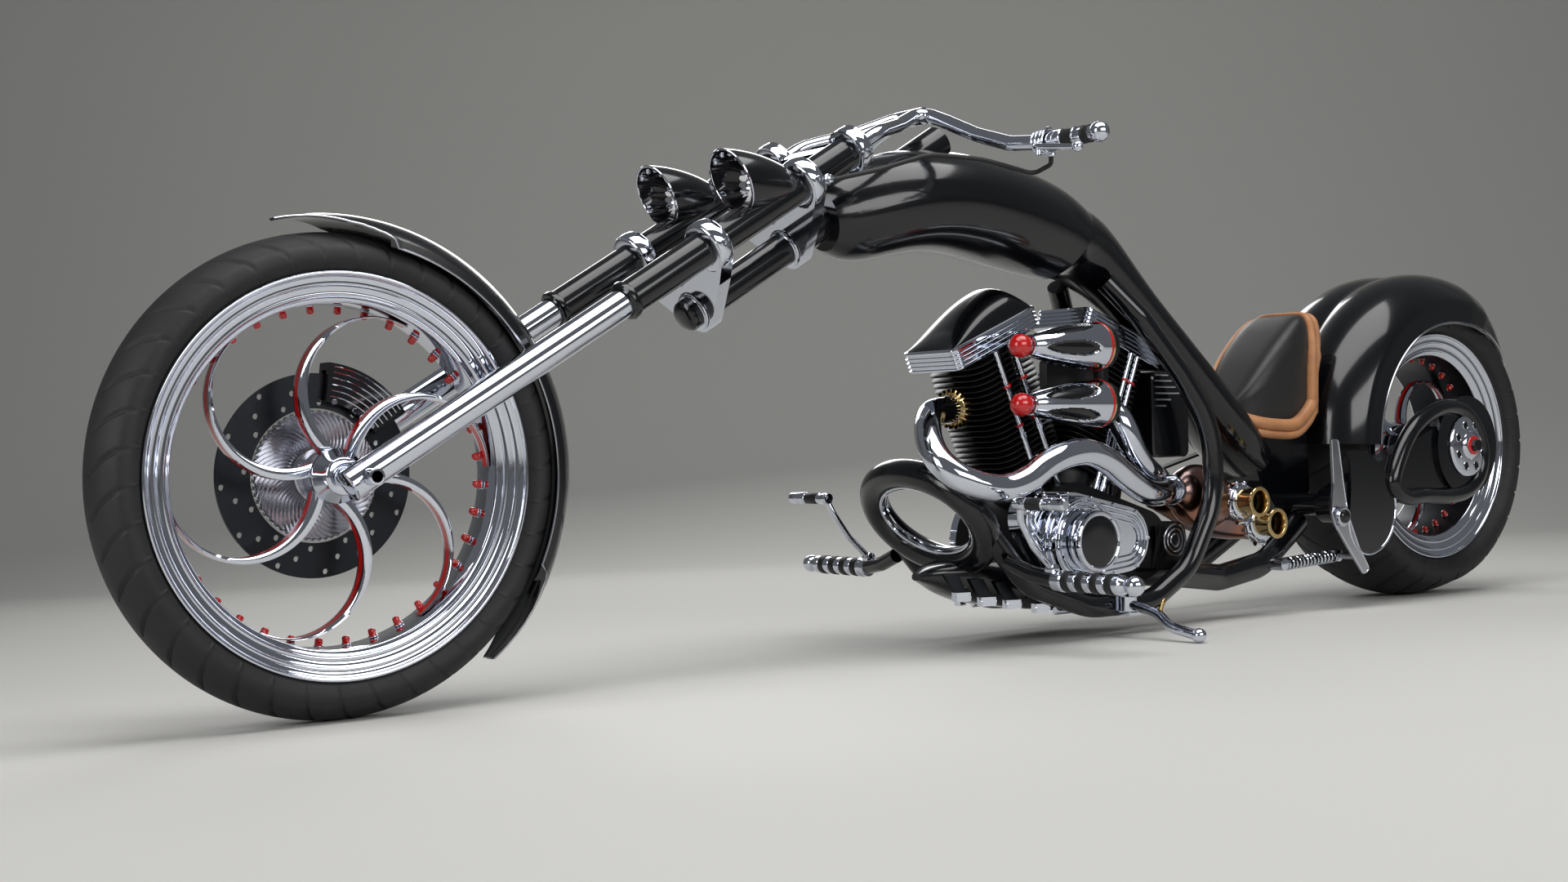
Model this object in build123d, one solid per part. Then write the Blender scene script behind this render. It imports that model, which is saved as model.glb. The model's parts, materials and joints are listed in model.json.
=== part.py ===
from build123d import *
from math import atan2, cos, hypot, radians, sin, tan
import os

# Long-fork custom chopper, millimetres. It is modelled upright in a bike frame: +X forward,
# +Y to the rider's left, +Z up, with the ground point under the rear axle at the origin.
# stand_it() then leans it to the left onto its side stand and centres its footprint.

# Stance
wheelbase = 2500
lean_deg = 2.0
head_x = 1721.4                 # where the fork's legs pass the upper clamp
head_z = 799.4
fit_gap = 0.3                   # between pieces that seat on each other
move_gap = 5                    # between pieces that move past each other

# Front wheel
front_tyre_r = 348
front_tyre_w = 118
front_lip_r = front_tyre_r - 58
front_bead_r = front_lip_r - 6
front_barrel_r = front_lip_r - 44
front_rim_w = 104
front_hub_r = 40
front_hub_w = 84
front_axle_r = 12
spoke_count = 6
disc_r = 150
disc_inner_r = 96
disc_t = 5
disc_y = -65

# Rear wheel
rear_tyre_r = 327
rear_tyre_w = 248
rear_lip_r = rear_tyre_r - 83
rear_bead_r = rear_lip_r - 6
rear_barrel_r = rear_lip_r - 48
rear_rim_w = 212
rear_hub_r = 52
rear_axle_r = 16
rim_wall = 6

# Fork: places along it are measured from the front axle, and most follow the head
fork_reach = hypot(wheelbase - head_x, head_z - front_tyre_r)
slope = atan2(head_z - front_tyre_r, wheelbase - head_x)
leg_half_span = 106
leg_r = 23
leg_bottom = -26
leg_inside = 190                # how far the chrome leg reaches into the black tube
tube_r = 28
tube_start = fork_reach - 402
tube_end = fork_reach + 132
clamp_t = 26
lower_clamp_s = fork_reach - 218
upper_clamp_s = fork_reach - 1
bar_clamp_s = fork_reach + 118
stem_drop = 103                 # stem axis under the plane of the legs
stem_r = 21
sleeve_r = 28
stem_top_s = fork_reach + 152
head_tube_r = 30
head_tube_start = upper_clamp_s + clamp_t / 2 + move_gap
head_tube_end = fork_reach + 389
steer_deg = 25

# Handlebar, in places along the fork, above its plane and outward
bar_r = 12.5
bar_top_s = fork_reach + 368
bar_top_up = -36
grip_s = fork_reach + 327
grip_up = -118
grip_inner_y = 332
grip_outer_y = 432
grip_r = 15

# Lamps
lamp_s = fork_reach - 133
lamp_up = 68.7
lamp_y = 108
lamp_r = 51
lamp_len = 140
lamp_wall = 4

# Tank and spine, engine, seat and rear guard are given by the tables beside their functions
crank_x = 1098
crank_z = 157
vee_deg = 22.5
case_half_w = 95
rail_y = 131
pan_half_w = 104
rail_r = 20
hoop_r = 26
pipe_r = 21
tip_r = 26
tip_y = 108
peg_x = 1311
peg_z = 130
peg_inner_y = 254
peg_outer_y = 423
guard_r = rear_tyre_r + 41
guard_half_w = 152
guard_t = 5
swing_y = 134
swing_t = 34
belt_y = -176
belt_w = 20
belt_t = 5
rear_pulley_r = 95
front_pulley_r = 45
pivot_x = 430
pivot_z = 218

# Side stand
stand_pivot = (1046, 168, 66)
stand_foot = (1085, 366)
stand_r = 9
stand_ball_r = 13
stand_fold_deg = 88

lean = radians(lean_deg)
parts = {}


def fork_plane(s, up=0.0, across=0.0):
    """Plane square to the fork, s along it from the front axle; its x is up and forward."""
    x = wheelbase - s * cos(slope) + up * sin(slope)
    z = front_tyre_r + s * sin(slope) + up * cos(slope)
    return Plane(origin=(x, across, z), x_dir=(sin(slope), 0, cos(slope)), z_dir=(-cos(slope), 0, sin(slope)))


def fork_rod(radius, start, end, up=0.0, across=0.0):
    """A round bar along the fork."""
    return extrude(fork_plane(start, up, across) * Circle(radius), end - start)


def side_face(*edges):
    """A face in the bike's side view, from edges given as (x, z)."""
    return Plane.XZ * make_face(Sketch() + list(edges))


def side_slab(face, y_low, y_high):
    """A side-view face made solid from y_low to y_high."""
    return Pos(0, y_low, 0) * extrude(face, amount=y_high - y_low, dir=(0, 1, 0))


def side_disc(x, z, radius, y_low, y_high):
    """A round disc whose axis lies across the bike."""
    return side_slab(Plane.XZ * (Pos(x, z) * Circle(radius)), y_low, y_high)


def side_hull(circles, y_low, y_high):
    """A slab around several circles (x, z, radius) in side view."""
    rings = [Pos(x, z) * Circle(r) for x, z, r in circles]
    outline = make_hull([edge for ring in rings for edge in ring.edges()])
    return side_slab(Plane.XZ * outline, y_low, y_high)


def bent_tube(points, radius, bends):
    """A round tube along straight runs joined by tangent arcs, each no larger than its runs allow."""
    corners = [Vector(*point) for point in points]
    allowed = []
    for before, corner, after, bend in zip(corners, corners[1:], corners[2:], bends):
        first, second = corner - before, after - corner
        turn = radians(first.get_angle(second))
        room = 0.49 * min(first.length, second.length)
        allowed.append(min(bend, room / tan(turn / 2)))
    path = FilletPolyline(*points, radius=allowed)
    start = Plane(origin=path @ 0, z_dir=path % 0)
    return sweep(start * Circle(radius), path=path)


def mirrored(solid):
    return solid + mirror(solid, about=Plane.XZ)


def keep_largest(shape):
    return max(shape.solids(), key=lambda solid: solid.volume)


def wheel_ring(points):
    """Turns a closed outline of (radius, y) corners round the axle."""
    return revolve(make_face(Polyline(*points, close=True)), axis=Axis.Y)


def tyre(radius, width, bead_r, bead_w, lip_r, shoulder_drop, shoulder_w):
    """A tyre: crown arc, bulged side walls, and beads that stand inside the rim's lips."""
    shoulder_r = radius - shoulder_drop
    wall_r = (lip_r + shoulder_r) / 2
    low, high = -bead_w / 2, bead_w / 2
    outline = [
        Line((bead_r, low), (bead_r, high)), Line((bead_r, high), (lip_r + 1, high)),
        ThreePointArc((lip_r + 1, high), (wall_r, width / 2), (shoulder_r, shoulder_w / 2)),
        ThreePointArc((shoulder_r, shoulder_w / 2), (radius, 0), (shoulder_r, -shoulder_w / 2)),
        ThreePointArc((shoulder_r, -shoulder_w / 2), (wall_r, -width / 2), (lip_r + 1, low)),
        Line((lip_r + 1, low), (bead_r, low)),
    ]
    return revolve(make_face(outline), axis=Axis.Y)


def rim(lip_r, bead_r, barrel_r, width):
    """A deep stepped rim: lips, two steps down and the barrel that the spokes meet."""
    half = width / 2
    step = (lip_r - barrel_r) / 3
    inner = [(lip_r - 6, half), (lip_r - step, half - 7), (barrel_r + step, half - 12), (barrel_r, half - 20)]
    outer = [(lip_r, half), (lip_r, half - 4), (bead_r - fit_gap, half - 4), (bead_r - fit_gap, half - 8),
             (barrel_r + step + rim_wall, half - 15), (barrel_r + rim_wall, half - 24)]
    other_inner = [(r, -y) for r, y in inner]
    other_outer = [(r, -y) for r, y in outer]
    return wheel_ring(inner + other_inner[::-1] + other_outer + outer[::-1])


def scythe_spokes(barrel_r, root_r, hub_r, hub_w, depth, bore_r, count, lean_angle):
    """A hub with curved blades that leave it tangentially and run out against the rim."""
    away = radians(lean_angle)
    far = (cos(away), sin(away))
    side = (sin(away), -cos(away))
    tip = barrel_r - fit_gap
    outer_r = (tip - root_r) / 2
    inner_r = (tip - 2 - root_r * 2.2) / 2
    outer_c, inner_c = tip - outer_r, tip - 2 - inner_r

    def at(along, across):
        return (far[0] * along + side[0] * across, far[1] * along + side[1] * across)

    blade = side_face(
        ThreePointArc(at(root_r, 0), at(outer_c, outer_r), at(tip, 0)),
        Line(at(tip, 0), at(tip - 2, 0)),
        ThreePointArc(at(tip - 2, 0), at(inner_c, inner_r), at(root_r * 2.2, 0)),
        Line(at(root_r * 2.2, 0), at(root_r, 0)),
    )
    blade = side_slab(blade, -depth / 2, depth / 2)
    hub = side_disc(0, 0, hub_r, -hub_w / 2, hub_w / 2)
    for number in range(count):
        hub += Rot(0, 360 / count * number, 0) * blade
    return hub - side_disc(0, 0, bore_r + 0.05, -hub_w, hub_w)


def build_front_wheel():
    place = Pos(wheelbase, 0, front_tyre_r)
    parts["front_tyre"] = place * tyre(
        front_tyre_r, front_tyre_w, front_bead_r, front_rim_w - 9, front_lip_r, 17, 92)
    parts["front_rim"] = place * rim(front_lip_r, front_bead_r, front_barrel_r, front_rim_w)
    parts["front_spokes"] = place * scythe_spokes(
        front_barrel_r, 15, front_hub_r, front_hub_w, 26, front_axle_r, spoke_count, 118.6)
    disc = side_disc(0, 0, disc_r, disc_y - disc_t / 2, disc_y + disc_t / 2)
    disc -= side_disc(0, 0, disc_inner_r, disc_y - disc_t, disc_y + disc_t)
    parts["brake_disc"] = place * disc
    carrier = side_disc(0, 0, disc_inner_r - fit_gap, disc_y - 5, disc_y + 6)
    carrier += side_disc(0, 0, front_hub_r, disc_y - 5, -front_hub_w / 2 - fit_gap)
    carrier -= side_disc(0, 0, front_axle_r + 0.05, disc_y - 20, 0)
    parts["disc_carrier"] = place * carrier


def build_rear_wheel():
    place = Pos(0, 0, rear_tyre_r)
    parts["rear_tyre"] = place * tyre(
        rear_tyre_r, rear_tyre_w, rear_bead_r, rear_rim_w - 9, rear_lip_r, 26, 196)
    parts["rear_rim"] = place * rim(rear_lip_r, rear_bead_r, rear_barrel_r, rear_rim_w)
    parts["rear_spokes"] = place * scythe_spokes(
        rear_barrel_r, 20, rear_hub_r, rear_rim_w + 30, 40, rear_axle_r, spoke_count, 88)
    pulley_in = -(rear_rim_w + 30) / 2 - fit_gap
    pulley = side_disc(0, 0, rear_pulley_r, belt_y - belt_w / 2, belt_y + belt_w / 2)
    pulley += side_disc(0, 0, rear_hub_r, belt_y, pulley_in)
    pulley -= side_disc(0, 0, rear_axle_r + 0.05, belt_y - 50, 0)
    parts["rear_pulley"] = place * pulley


def clamp_plate(s, ring_r):
    """A triple clamp: a ring on each leg and arms that drop to the boss on the stem."""
    plane = fork_plane(s - clamp_t / 2)
    plate = Sketch()
    for side in (-1, 1):
        leg = Pos(0, side * leg_half_span) * Circle(ring_r)
        knee = Pos(-stem_drop * 0.45, side * leg_half_span * 0.8) * Circle(ring_r * 0.6)
        boss = Pos(-stem_drop, 0) * Circle(stem_r + 19)
        plate += leg + make_hull((leg.edges() + knee.edges())) + make_hull(knee.edges() + boss.edges())
    for side in (-1, 1):
        plate -= Pos(0, side * leg_half_span) * Circle(tube_r + fit_gap)
    plate -= Pos(-stem_drop, 0) * Circle(stem_r + fit_gap)
    return extrude(plane * plate, clamp_t)


def build_fork():
    legs, tubes = Part(), Part()
    axle_hole = Pos(wheelbase, 0, front_tyre_r) * side_disc(0, 0, front_axle_r + fit_gap, -200, 200)
    for side in (-1, 1):
        y = side * leg_half_span
        leg = fork_rod(leg_r, leg_bottom, tube_start + leg_inside, 0, y) - axle_hole
        legs += leg
        tube = fork_rod(tube_r, tube_start, tube_end, 0, y)
        tube -= fork_rod(leg_r + fit_gap, tube_start - 1, tube_start + leg_inside + 2, 0, y)
        tube += fork_rod(tube_r + 2.5, tube_start, tube_start + 9, 0, y) - fork_rod(tube_r - 1, tube_start - 1,
                                                                                   tube_start + 10, 0, y)
        tubes += tube
    parts["fork_legs"] = legs
    parts["fork_tubes"] = tubes
    parts["fork_clamps"] = clamp_plate(lower_clamp_s, tube_r + 13) + clamp_plate(upper_clamp_s, tube_r + 13)
    stem = fork_rod(stem_r, lower_clamp_s - 22, stem_top_s, -stem_drop)
    sleeve_gap = clamp_t / 2 + fit_gap
    stem += fork_rod(sleeve_r, lower_clamp_s + sleeve_gap, upper_clamp_s - sleeve_gap, -stem_drop)
    stem += fork_rod(stem_r + 6, lower_clamp_s - 28, lower_clamp_s - clamp_t / 2 - fit_gap, -stem_drop)
    parts["steering_stem"] = stem
    bridge = fork_plane(bar_clamp_s - 12) * Rectangle(22, 2 * leg_half_span)
    rings = Sketch()
    for side in (-1, 1):
        rings += fork_plane(bar_clamp_s - 12) * (Pos(0, side * leg_half_span) * Circle(tube_r + 12))
    clamp = extrude(bridge + rings, 24)
    for side in (-1, 1):
        clamp -= fork_rod(tube_r + fit_gap, bar_clamp_s - 20, bar_clamp_s + 20, 0, side * leg_half_span)
    parts["bar_clamp"] = clamp
    axle = side_disc(wheelbase, front_tyre_r, front_axle_r, -146, 146)
    axle -= side_disc(wheelbase, front_tyre_r, 8, -150, 150)
    parts["front_axle"] = axle


def fork_points(rows):
    """Turns rows of along, up, across into points."""
    return [tuple(fork_plane(along, up, across).origin) for along, up, across in rows]


def build_controls():
    top = bar_top_s
    half = bent_tube(fork_points([(tube_end + fit_gap, 0, leg_half_span), (tube_end + 56, 0, leg_half_span),
                                  (top - 96, -22, 58), (top, bar_top_up, 15), (top - 22, -56, 92),
                                  (top - 40, -84, 170), (top - 46, -108, 244), (grip_s, grip_up, 306),
                                  (grip_s, grip_up, grip_inner_y + 60)]), bar_r, [60, 90, 26, 80, 90, 90, 60])
    middle = fork_plane(top - 14, bar_top_up - 3).origin
    parts["handlebar"] = mirrored(half) + side_disc(middle.X, middle.Z, bar_r + 3, -36, 36)
    place = fork_plane(grip_s, grip_up).origin
    grip_x, grip_z = place.X, place.Z
    grips, levers = Part(), Part()
    for side in (-1, 1):
        ys = sorted((side * grip_inner_y, side * grip_outer_y))
        grip = side_disc(grip_x, grip_z, grip_r, ys[0], ys[1])
        grip += Pos(grip_x, side * (grip_outer_y + 8), grip_z) * Sphere(grip_r + 2)
        grip -= side_disc(grip_x, grip_z, bar_r + fit_gap, *sorted((side * (grip_inner_y - 1), side * (grip_inner_y + 61))))
        grips += grip
        perch = side_disc(grip_x, grip_z, bar_r + 7, *sorted((side * (grip_inner_y - 28), side * (grip_inner_y - 2))))
        lever = bent_tube([(grip_x + 16, side * (grip_inner_y - 14), grip_z - 8),
                           (grip_x + 46, side * (grip_inner_y + 8), grip_z - 14),
                           (grip_x + 34, side * (grip_outer_y - 8), grip_z - 24)], 5, [18])
        lever += Pos(grip_x + 34, side * (grip_outer_y - 8), grip_z - 24) * Sphere(9)
        levers += perch + lever
    parts["grips"] = grips
    parts["hand_levers"] = levers - parts["handlebar"] - side_disc(grip_x, grip_z, bar_r + fit_gap, -360, 360)


def bullet(front_x, front_r, back_x, back_r, bulge, mouth_x):
    """A lamp-shaped body turned about the x axis: straight ahead of its mouth, rounded behind it."""
    middle = ((mouth_x + back_x) / 2, (front_r + back_r) / 2 + bulge)
    outline = make_face([
        Line((back_x, 0), (front_x, 0)), Line((front_x, 0), (front_x, front_r)),
        Line((front_x, front_r), (mouth_x, front_r)),
        ThreePointArc((mouth_x, front_r), middle, (back_x, back_r)), Line((back_x, back_r), (back_x, 0)),
    ])
    return revolve(outline, axis=Axis.X)


def build_lamps():
    lamp = fork_plane(lamp_s, lamp_up).origin
    lamp_x, lamp_z = lamp.X, lamp.Z
    housings, reflectors = Part(), Part()
    inner_r = lamp_r - lamp_wall
    for side in (-1, 1):
        place = Pos(0, side * lamp_y, lamp_z)
        tube = fork_rod(tube_r + fit_gap, tube_start, tube_end, 0, side * leg_half_span)
        visor_cut = Pos(lamp_x + 60, 0, 0) * (Rot(0, 24, 0) * Box(120, 200, 260))
        shell = bullet(lamp_x + 34, lamp_r, lamp_x - lamp_len, 14, 9, lamp_x) - visor_cut
        shell -= bullet(lamp_x + 60, inner_r, lamp_x - 66, 8, 8, lamp_x)
        housings += place * shell - tube
        bowl = bullet(lamp_x + 0.5, inner_r - fit_gap, lamp_x - 62, 8, 7, lamp_x)
        bowl -= bullet(lamp_x + 60, inner_r - 4, lamp_x - 58, 6, 7, lamp_x)
        reflectors += place * (bowl - visor_cut) - tube
    parts["lamp_housings"] = housings
    parts["lamp_reflectors"] = reflectors


def guard_shell(crown_r, half_w, edge_r, thickness, start_deg, sweep_deg):
    """A hooped mudguard shell turned about the axle; angles run from straight ahead, upwards."""
    mid_r, mid_y = crown_r - 0.3 * half_w, half_w * 0.9
    inside = thickness
    outline = make_face([
        Line((edge_r, half_w), (mid_r - 10, half_w)),
        ThreePointArc((mid_r - 10, half_w), (crown_r - 12, half_w * 0.72), (crown_r, 0)),
        ThreePointArc((crown_r, 0), (crown_r - 12, -half_w * 0.72), (mid_r - 10, -half_w)),
        Line((mid_r - 10, -half_w), (edge_r, -half_w)), Line((edge_r, -half_w), (edge_r, -half_w + inside)),
        Line((edge_r, -half_w + inside), (mid_r - 10 - inside / 2, -half_w + inside)),
        ThreePointArc((mid_r - 10 - inside / 2, -half_w + inside), (crown_r - 12 - inside, -half_w * 0.7),
                      (crown_r - inside, 0)),
        ThreePointArc((crown_r - inside, 0), (crown_r - 12 - inside, half_w * 0.7),
                      (mid_r - 10 - inside / 2, half_w - inside)),
        Line((mid_r - 10 - inside / 2, half_w - inside), (edge_r, half_w - inside)),
        Line((edge_r, half_w - inside), (edge_r, half_w))])
    turned = revolve(outline, axis=Axis.Y, revolution_arc=sweep_deg)
    return Rot(0, -start_deg - sweep_deg, 0) * turned


def build_guards():
    front = Pos(wheelbase, 0, front_tyre_r) * guard_shell(front_tyre_r + 26, 66, front_tyre_r - 16, 4, 77.5, 152)
    plan = make_face(Polyline((2592, 2), (2490, 46), (2400, 70), (2000, 70), (2000, -70), (2400, -70),
                              (2490, -46), (2592, -2), close=True))
    ends = make_face(Polyline((-70, 900), (70, 900), (70, 200), (8, 60), (-8, 60), (-70, 200), close=True))
    front = front & extrude(plan, 900)
    front = front & extrude(Plane(origin=(2000, 0, 0), x_dir=(0, 1, 0), z_dir=(1, 0, 0)) * ends, 700)
    for side in (-1, 1):
        s = 352
        x, z = wheelbase - s * cos(slope), front_tyre_r + s * sin(slope)
        ys = sorted((side * 64, side * (leg_half_span - leg_r - fit_gap + 1)))
        front += side_disc(x, z, 9, *ys) - fork_rod(leg_r + fit_gap, 300, 420, 0, side * leg_half_span)
    parts["front_mudguard"] = front
    rear = guard_shell(guard_r, guard_half_w, guard_r - 103, guard_t, 2, 132)
    parts["rear_mudguard"] = Pos(0, 0, rear_tyre_r) * rear


def build_brake():
    outer, inner = disc_y - disc_t / 2 - move_gap, disc_y + disc_t / 2 + move_gap
    body = side_disc(0, 0, disc_r + 16, -leg_half_span + leg_r + fit_gap, inner + 9)
    body -= side_disc(0, 0, disc_inner_r + 12, -200, 200)
    body -= side_disc(0, 0, disc_r + move_gap, outer, inner)
    wedge = Plane.XZ * make_face(Polyline((0, 0), (300 * cos(radians(97)), 300 * sin(radians(97))), (-240, 320),
                                          (300 * cos(radians(147)), 300 * sin(radians(147))), close=True))
    body = body & side_slab(wedge, -200, 200)
    parts["brake_caliper"] = Pos(wheelbase, 0, front_tyre_r) * body


def ellipse_loft(sections):
    """A body through ellipses that stand square to its middle line."""
    faces = []
    for x, z, tilt, half_h, half_w in sections:
        turn = radians(tilt)
        plane = Plane(origin=(x, 0, z), x_dir=(0, 1, 0), z_dir=(-cos(turn), 0, sin(turn)))
        faces.append(plane * Ellipse(half_w, half_h))
    return loft(Sketch() + faces)


def build_tank():
    # columns: x, z, section tilt in degrees, half height, half width
    sections = [
        (1604, 752, 12, 52, 50), (1530, 770, 6, 84, 84), (1400, 796, 0, 91, 108), (1260, 790, -4, 92, 113),
        (1140, 768, -14, 92, 104), (1040, 735, -30, 80, 88),
    ]
    tank = ellipse_loft(sections)
    tank -= fork_rod(head_tube_r + fit_gap, head_tube_start - 60, head_tube_end + 20, -stem_drop)
    parts["tank"] = keep_largest(tank)
    head = fork_rod(head_tube_r, head_tube_start, head_tube_end, -stem_drop)
    head -= fork_rod(stem_r + 0.05, head_tube_start - 5, stem_top_s + move_gap, -stem_drop)
    parts["head_tube"] = head
    rear_sections = [
        (1039.6, 734.8, -30, 80, 88), (984, 720, -40, 70, 76), (890, 655, -50, 52, 66), (800, 582, -44, 44, 62),
        (706, 492, -43, 46, 70), (610, 390, -40, 50, 84), (520, 318, -15, 44, 72),
    ]
    parts["spine"] = ellipse_loft(rear_sections)


# A rail's corners in side view, how far out each stands (1 = rail_y), and the bends between them
rail_corners = [(1358, 214, 1), (1262, 112, 1), (1110, 62, 1), (950, 60, 1), (848, 118, 1), (806, 242, 1),
                (826, 380, 1), (880, 480, 0.9), (948, 590, 0.74), (982, 658, 0.48)]
rail_bends = [120, 180, 120, 80, 150, 200, 200, 60]


def rail_points(side):
    return [(x, side * rail_y * out, z) for x, z, out in rail_corners]


def hoop(radius):
    """The oval ring ahead of the engine, leaning forward."""
    tilt = Plane(origin=(1375, 0, 235), x_dir=(0, 1, 0), z_dir=(0.804, 0, -0.595))
    path = (tilt * Ellipse(134, 100)).edges()[0]
    start = Plane(origin=path @ 0, z_dir=path % 0)
    return sweep(start * Circle(radius), path=path)


def build_frame():
    rails = [bent_tube(rail_points(side), rail_r, rail_bends) for side in (1, -1)]
    parts["front_hoop"] = hoop(hoop_r)
    seat = hoop(hoop_r + fit_gap)
    left, right = [keep_largest(rail - seat - parts["spine"]) for rail in rails]
    parts["frame_rails"] = left + right


# Pushrod tubes: how far each stands from its cylinder's axis, front (1) and rear (-1)
rod_places = {1: (-28, 16), -1: (-42, -24)}
rod_y = 68
rod_r = 6
rod_collar_r = 8

# The crankcase's ends: x, z, radius
case_circles = [(1110, 170, 118), (925, 165, 66)]
cam_circles = [(1150, 190, 82), (1010, 180, 60), (1225, 228, 48)]
drive_circles = [(1120, 180, 86), (925, 165, 50)]


def build_engine():
    case = side_hull(case_circles, -case_half_w, case_half_w)
    mount_y = rail_y - rail_r - fit_gap
    parts["crankcase"] = case + side_disc(1080, 61.6, 10, -mount_y, mount_y)
    cylinders, covers, domes, rods = Part(), Part(), Part(), Part()
    for side, dome_h in ((1, 56), (-1, 18)):
        turn = radians(vee_deg) * side
        plane = Plane(origin=(crank_x, 0, crank_z), x_dir=(cos(turn), 0, -sin(turn)), z_dir=(sin(turn), 0, cos(turn)))
        barrel = extrude(plane.offset(90) * Circle(58), 318)
        for number in range(12):
            fin = RectangleRounded(158, 146, 30)
            barrel += extrude(plane.offset(165 + number * 19) * fin, 7)
        seat = side_hull([(x, z, r + fit_gap) for x, z, r in case_circles], -200, 200)
        for across in rod_places[side]:
            place = plane.offset(90).origin + plane.x_dir * across + Vector(0, rod_y, 0)
            axis = Plane(origin=place, x_dir=plane.x_dir, z_dir=plane.z_dir)
            barrel -= extrude(axis * Circle(rod_collar_r + fit_gap), 320)
            rod = extrude(axis * Circle(rod_r), 318) + extrude(axis.offset(150) * Circle(rod_collar_r), 10)
            rods += rod - seat
        barrel -= seat
        barrel -= Pos(crank_x - side * (200 - 1), 0, 500) * Box(400, 400, 900)
        cylinders += barrel
        cover = extrude(plane.offset(408.3) * RectangleRounded(222, 142, 12), 40)
        for level in (415, 423, 431):
            ring = RectangleRounded(223, 143, 12) - RectangleRounded(217, 137, 10)
            cover -= extrude(plane.offset(level) * ring, 3)
        covers += cover
        dome = make_face([Line((-104, 0), (104, 0)), ThreePointArc((104, 0), (20, dome_h), (-104, 0))])
        dome_plane = Plane(origin=plane.offset(448.6).origin, x_dir=plane.x_dir, z_dir=(0, -1, 0))
        domes += extrude(dome_plane * dome, 62, both=True)
    parts["cylinders"] = cylinders
    parts["pushrod_tubes"] = rods
    parts["rocker_covers"] = covers
    parts["rocker_domes"] = domes
    cam = side_hull(cam_circles, case_half_w + fit_gap, case_half_w + 36)
    cam += side_disc(1150, 186, 76, case_half_w + 35, case_half_w + 70)
    cam += side_disc(1150, 186, 54, case_half_w + 69, case_half_w + 102)
    parts["cam_cover"] = cam
    other = side_hull(drive_circles, -case_half_w - 40, -case_half_w - fit_gap)
    other += side_disc(925, 165, 18, belt_y - belt_w / 2 - 6, -case_half_w - 39)
    other += side_disc(925, 165, front_pulley_r, belt_y - belt_w / 2, belt_y + belt_w / 2)
    parts["drive_cover"] = other


def build_intake():
    trumpets, balls = Part(), Part()
    plenum = Pos(1079.7, 148, 483) * Box(30, 60, 190)
    plenum += Pos(1079.7, 102, 483) * Box(30, 50, 60)
    plenum += Pos(1098, 81, 483) * Box(140, 15.4, 60)
    for z in (534, 431):
        cone = make_face([Line((1095, 0), (1095, 44)), ThreePointArc((1095, 44), (1180, 36), (1264, 18)),
                          Line((1264, 18), (1264, 0)), Line((1264, 0), (1095, 0))])
        trumpets += Pos(0, 150, z) * revolve(cone, axis=Axis.X)
        balls += Pos(1285, 150, z) * Sphere(21)
    parts["intake_body"] = plenum
    parts["intake_trumpets"] = trumpets
    parts["trumpet_balls"] = balls


def cone_between(low, low_r, high, high_r):
    """A round cone from one point to another, in bike coordinates."""
    axis = Vector(*high) - Vector(*low)
    first = Plane(origin=low, z_dir=axis) * Circle(low_r)
    last = Plane(origin=high, z_dir=axis) * Circle(high_r)
    return loft(Sketch() + [first, last])


def make_face_xz(corners):
    """A side-view face from (x, z) corners."""
    return Plane.XZ * make_face(Polyline(*corners, close=True))


def build_engine_trim():
    slats = Part()
    for number in range(4):
        x = 1372 - 56 * number
        for side in (-1, 1):
            bar = Pos(x, side * (pan_half_w + fit_gap + 3), 79) * Box(22, 6, 62)
            slats += bar + Pos(x, side * (pan_half_w + fit_gap + 8), 54) * Box(30, 16, 12)
    parts["belly_slats"] = slats
    pan = side_slab(make_face_xz([(1392, 152), (1404, 124), (1388, 64), (1180, 58), (1120, 58), (1110, 90),
                                  (1226, 176), (1290, 178)]), -pan_half_w, pan_half_w)
    for circles, y_low, y_high in ((case_circles, -200, 200), (cam_circles, 0, 200), (drive_circles, -200, 0)):
        pan -= side_hull([(x, z, r + fit_gap) for x, z, r in circles], y_low, y_high)
    parts["belly_pan"] = keep_largest(pan - hoop(hoop_r + fit_gap))
    panels = Part()
    panel = make_face_xz([(935, 590), (957, 520), (935, 440), (925, 365), (880, 350), (852, 350), (856, 400),
                          (884, 470), (915, 550)])
    for side in (-1, 1):
        inner = rod_y + rod_collar_r + fit_gap
        panels += side_slab(panel, *sorted((side * inner, side * (inner + 2.7))))
    parts["side_panels"] = panels - parts["spine"]


def build_exhaust():
    front = bent_tube([(1318, 12, 428), (1446, 52, 414), (1482, 118, 350), (1440, 168, 300), (1382, 192, 284),
                       (1318, 206, 304), (1262, 213, 334), (1200, 215, 349), (1135, 204, 332), (1056, 182, 292),
                       (960, 132, 264), (868, 70, 262)], pipe_r,
                      [38, 38, 40, 50, 70, 90, 70, 70, 90, 90])
    rear = bent_tube([(1002, 73.6, 418), (1006, 118, 404), (1002, 122, 344), (955, 86, 312), (884, 20, 266)],
                     pipe_r, [26, 34, 44])
    rear = keep_largest(rear - parts["cylinders"])
    parts["exhaust_pipes"] = front + rear
    cones = cone_between((867, 69, 262), 24, (655, 70, 234), 42)
    cones += cone_between((883, 19, 265.5), 24, (603, 70, 190), 42)
    cones += Pos(655, 70, 234) * Sphere(42)
    cones += Pos(603, 70, 190) * Sphere(42)
    cones -= front + rear + Pos(630, tip_y + 50, 210) * Box(400, 100, 400)
    tips = Part()
    for x, z in ((655, 234), (603, 190)):
        tips += side_disc(x, z, tip_r, tip_y + fit_gap, 152) - side_disc(x, z, tip_r - 5, tip_y + 6, 160)
    parts["mufflers"] = cones
    parts["exhaust_tips"] = tips


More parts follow.
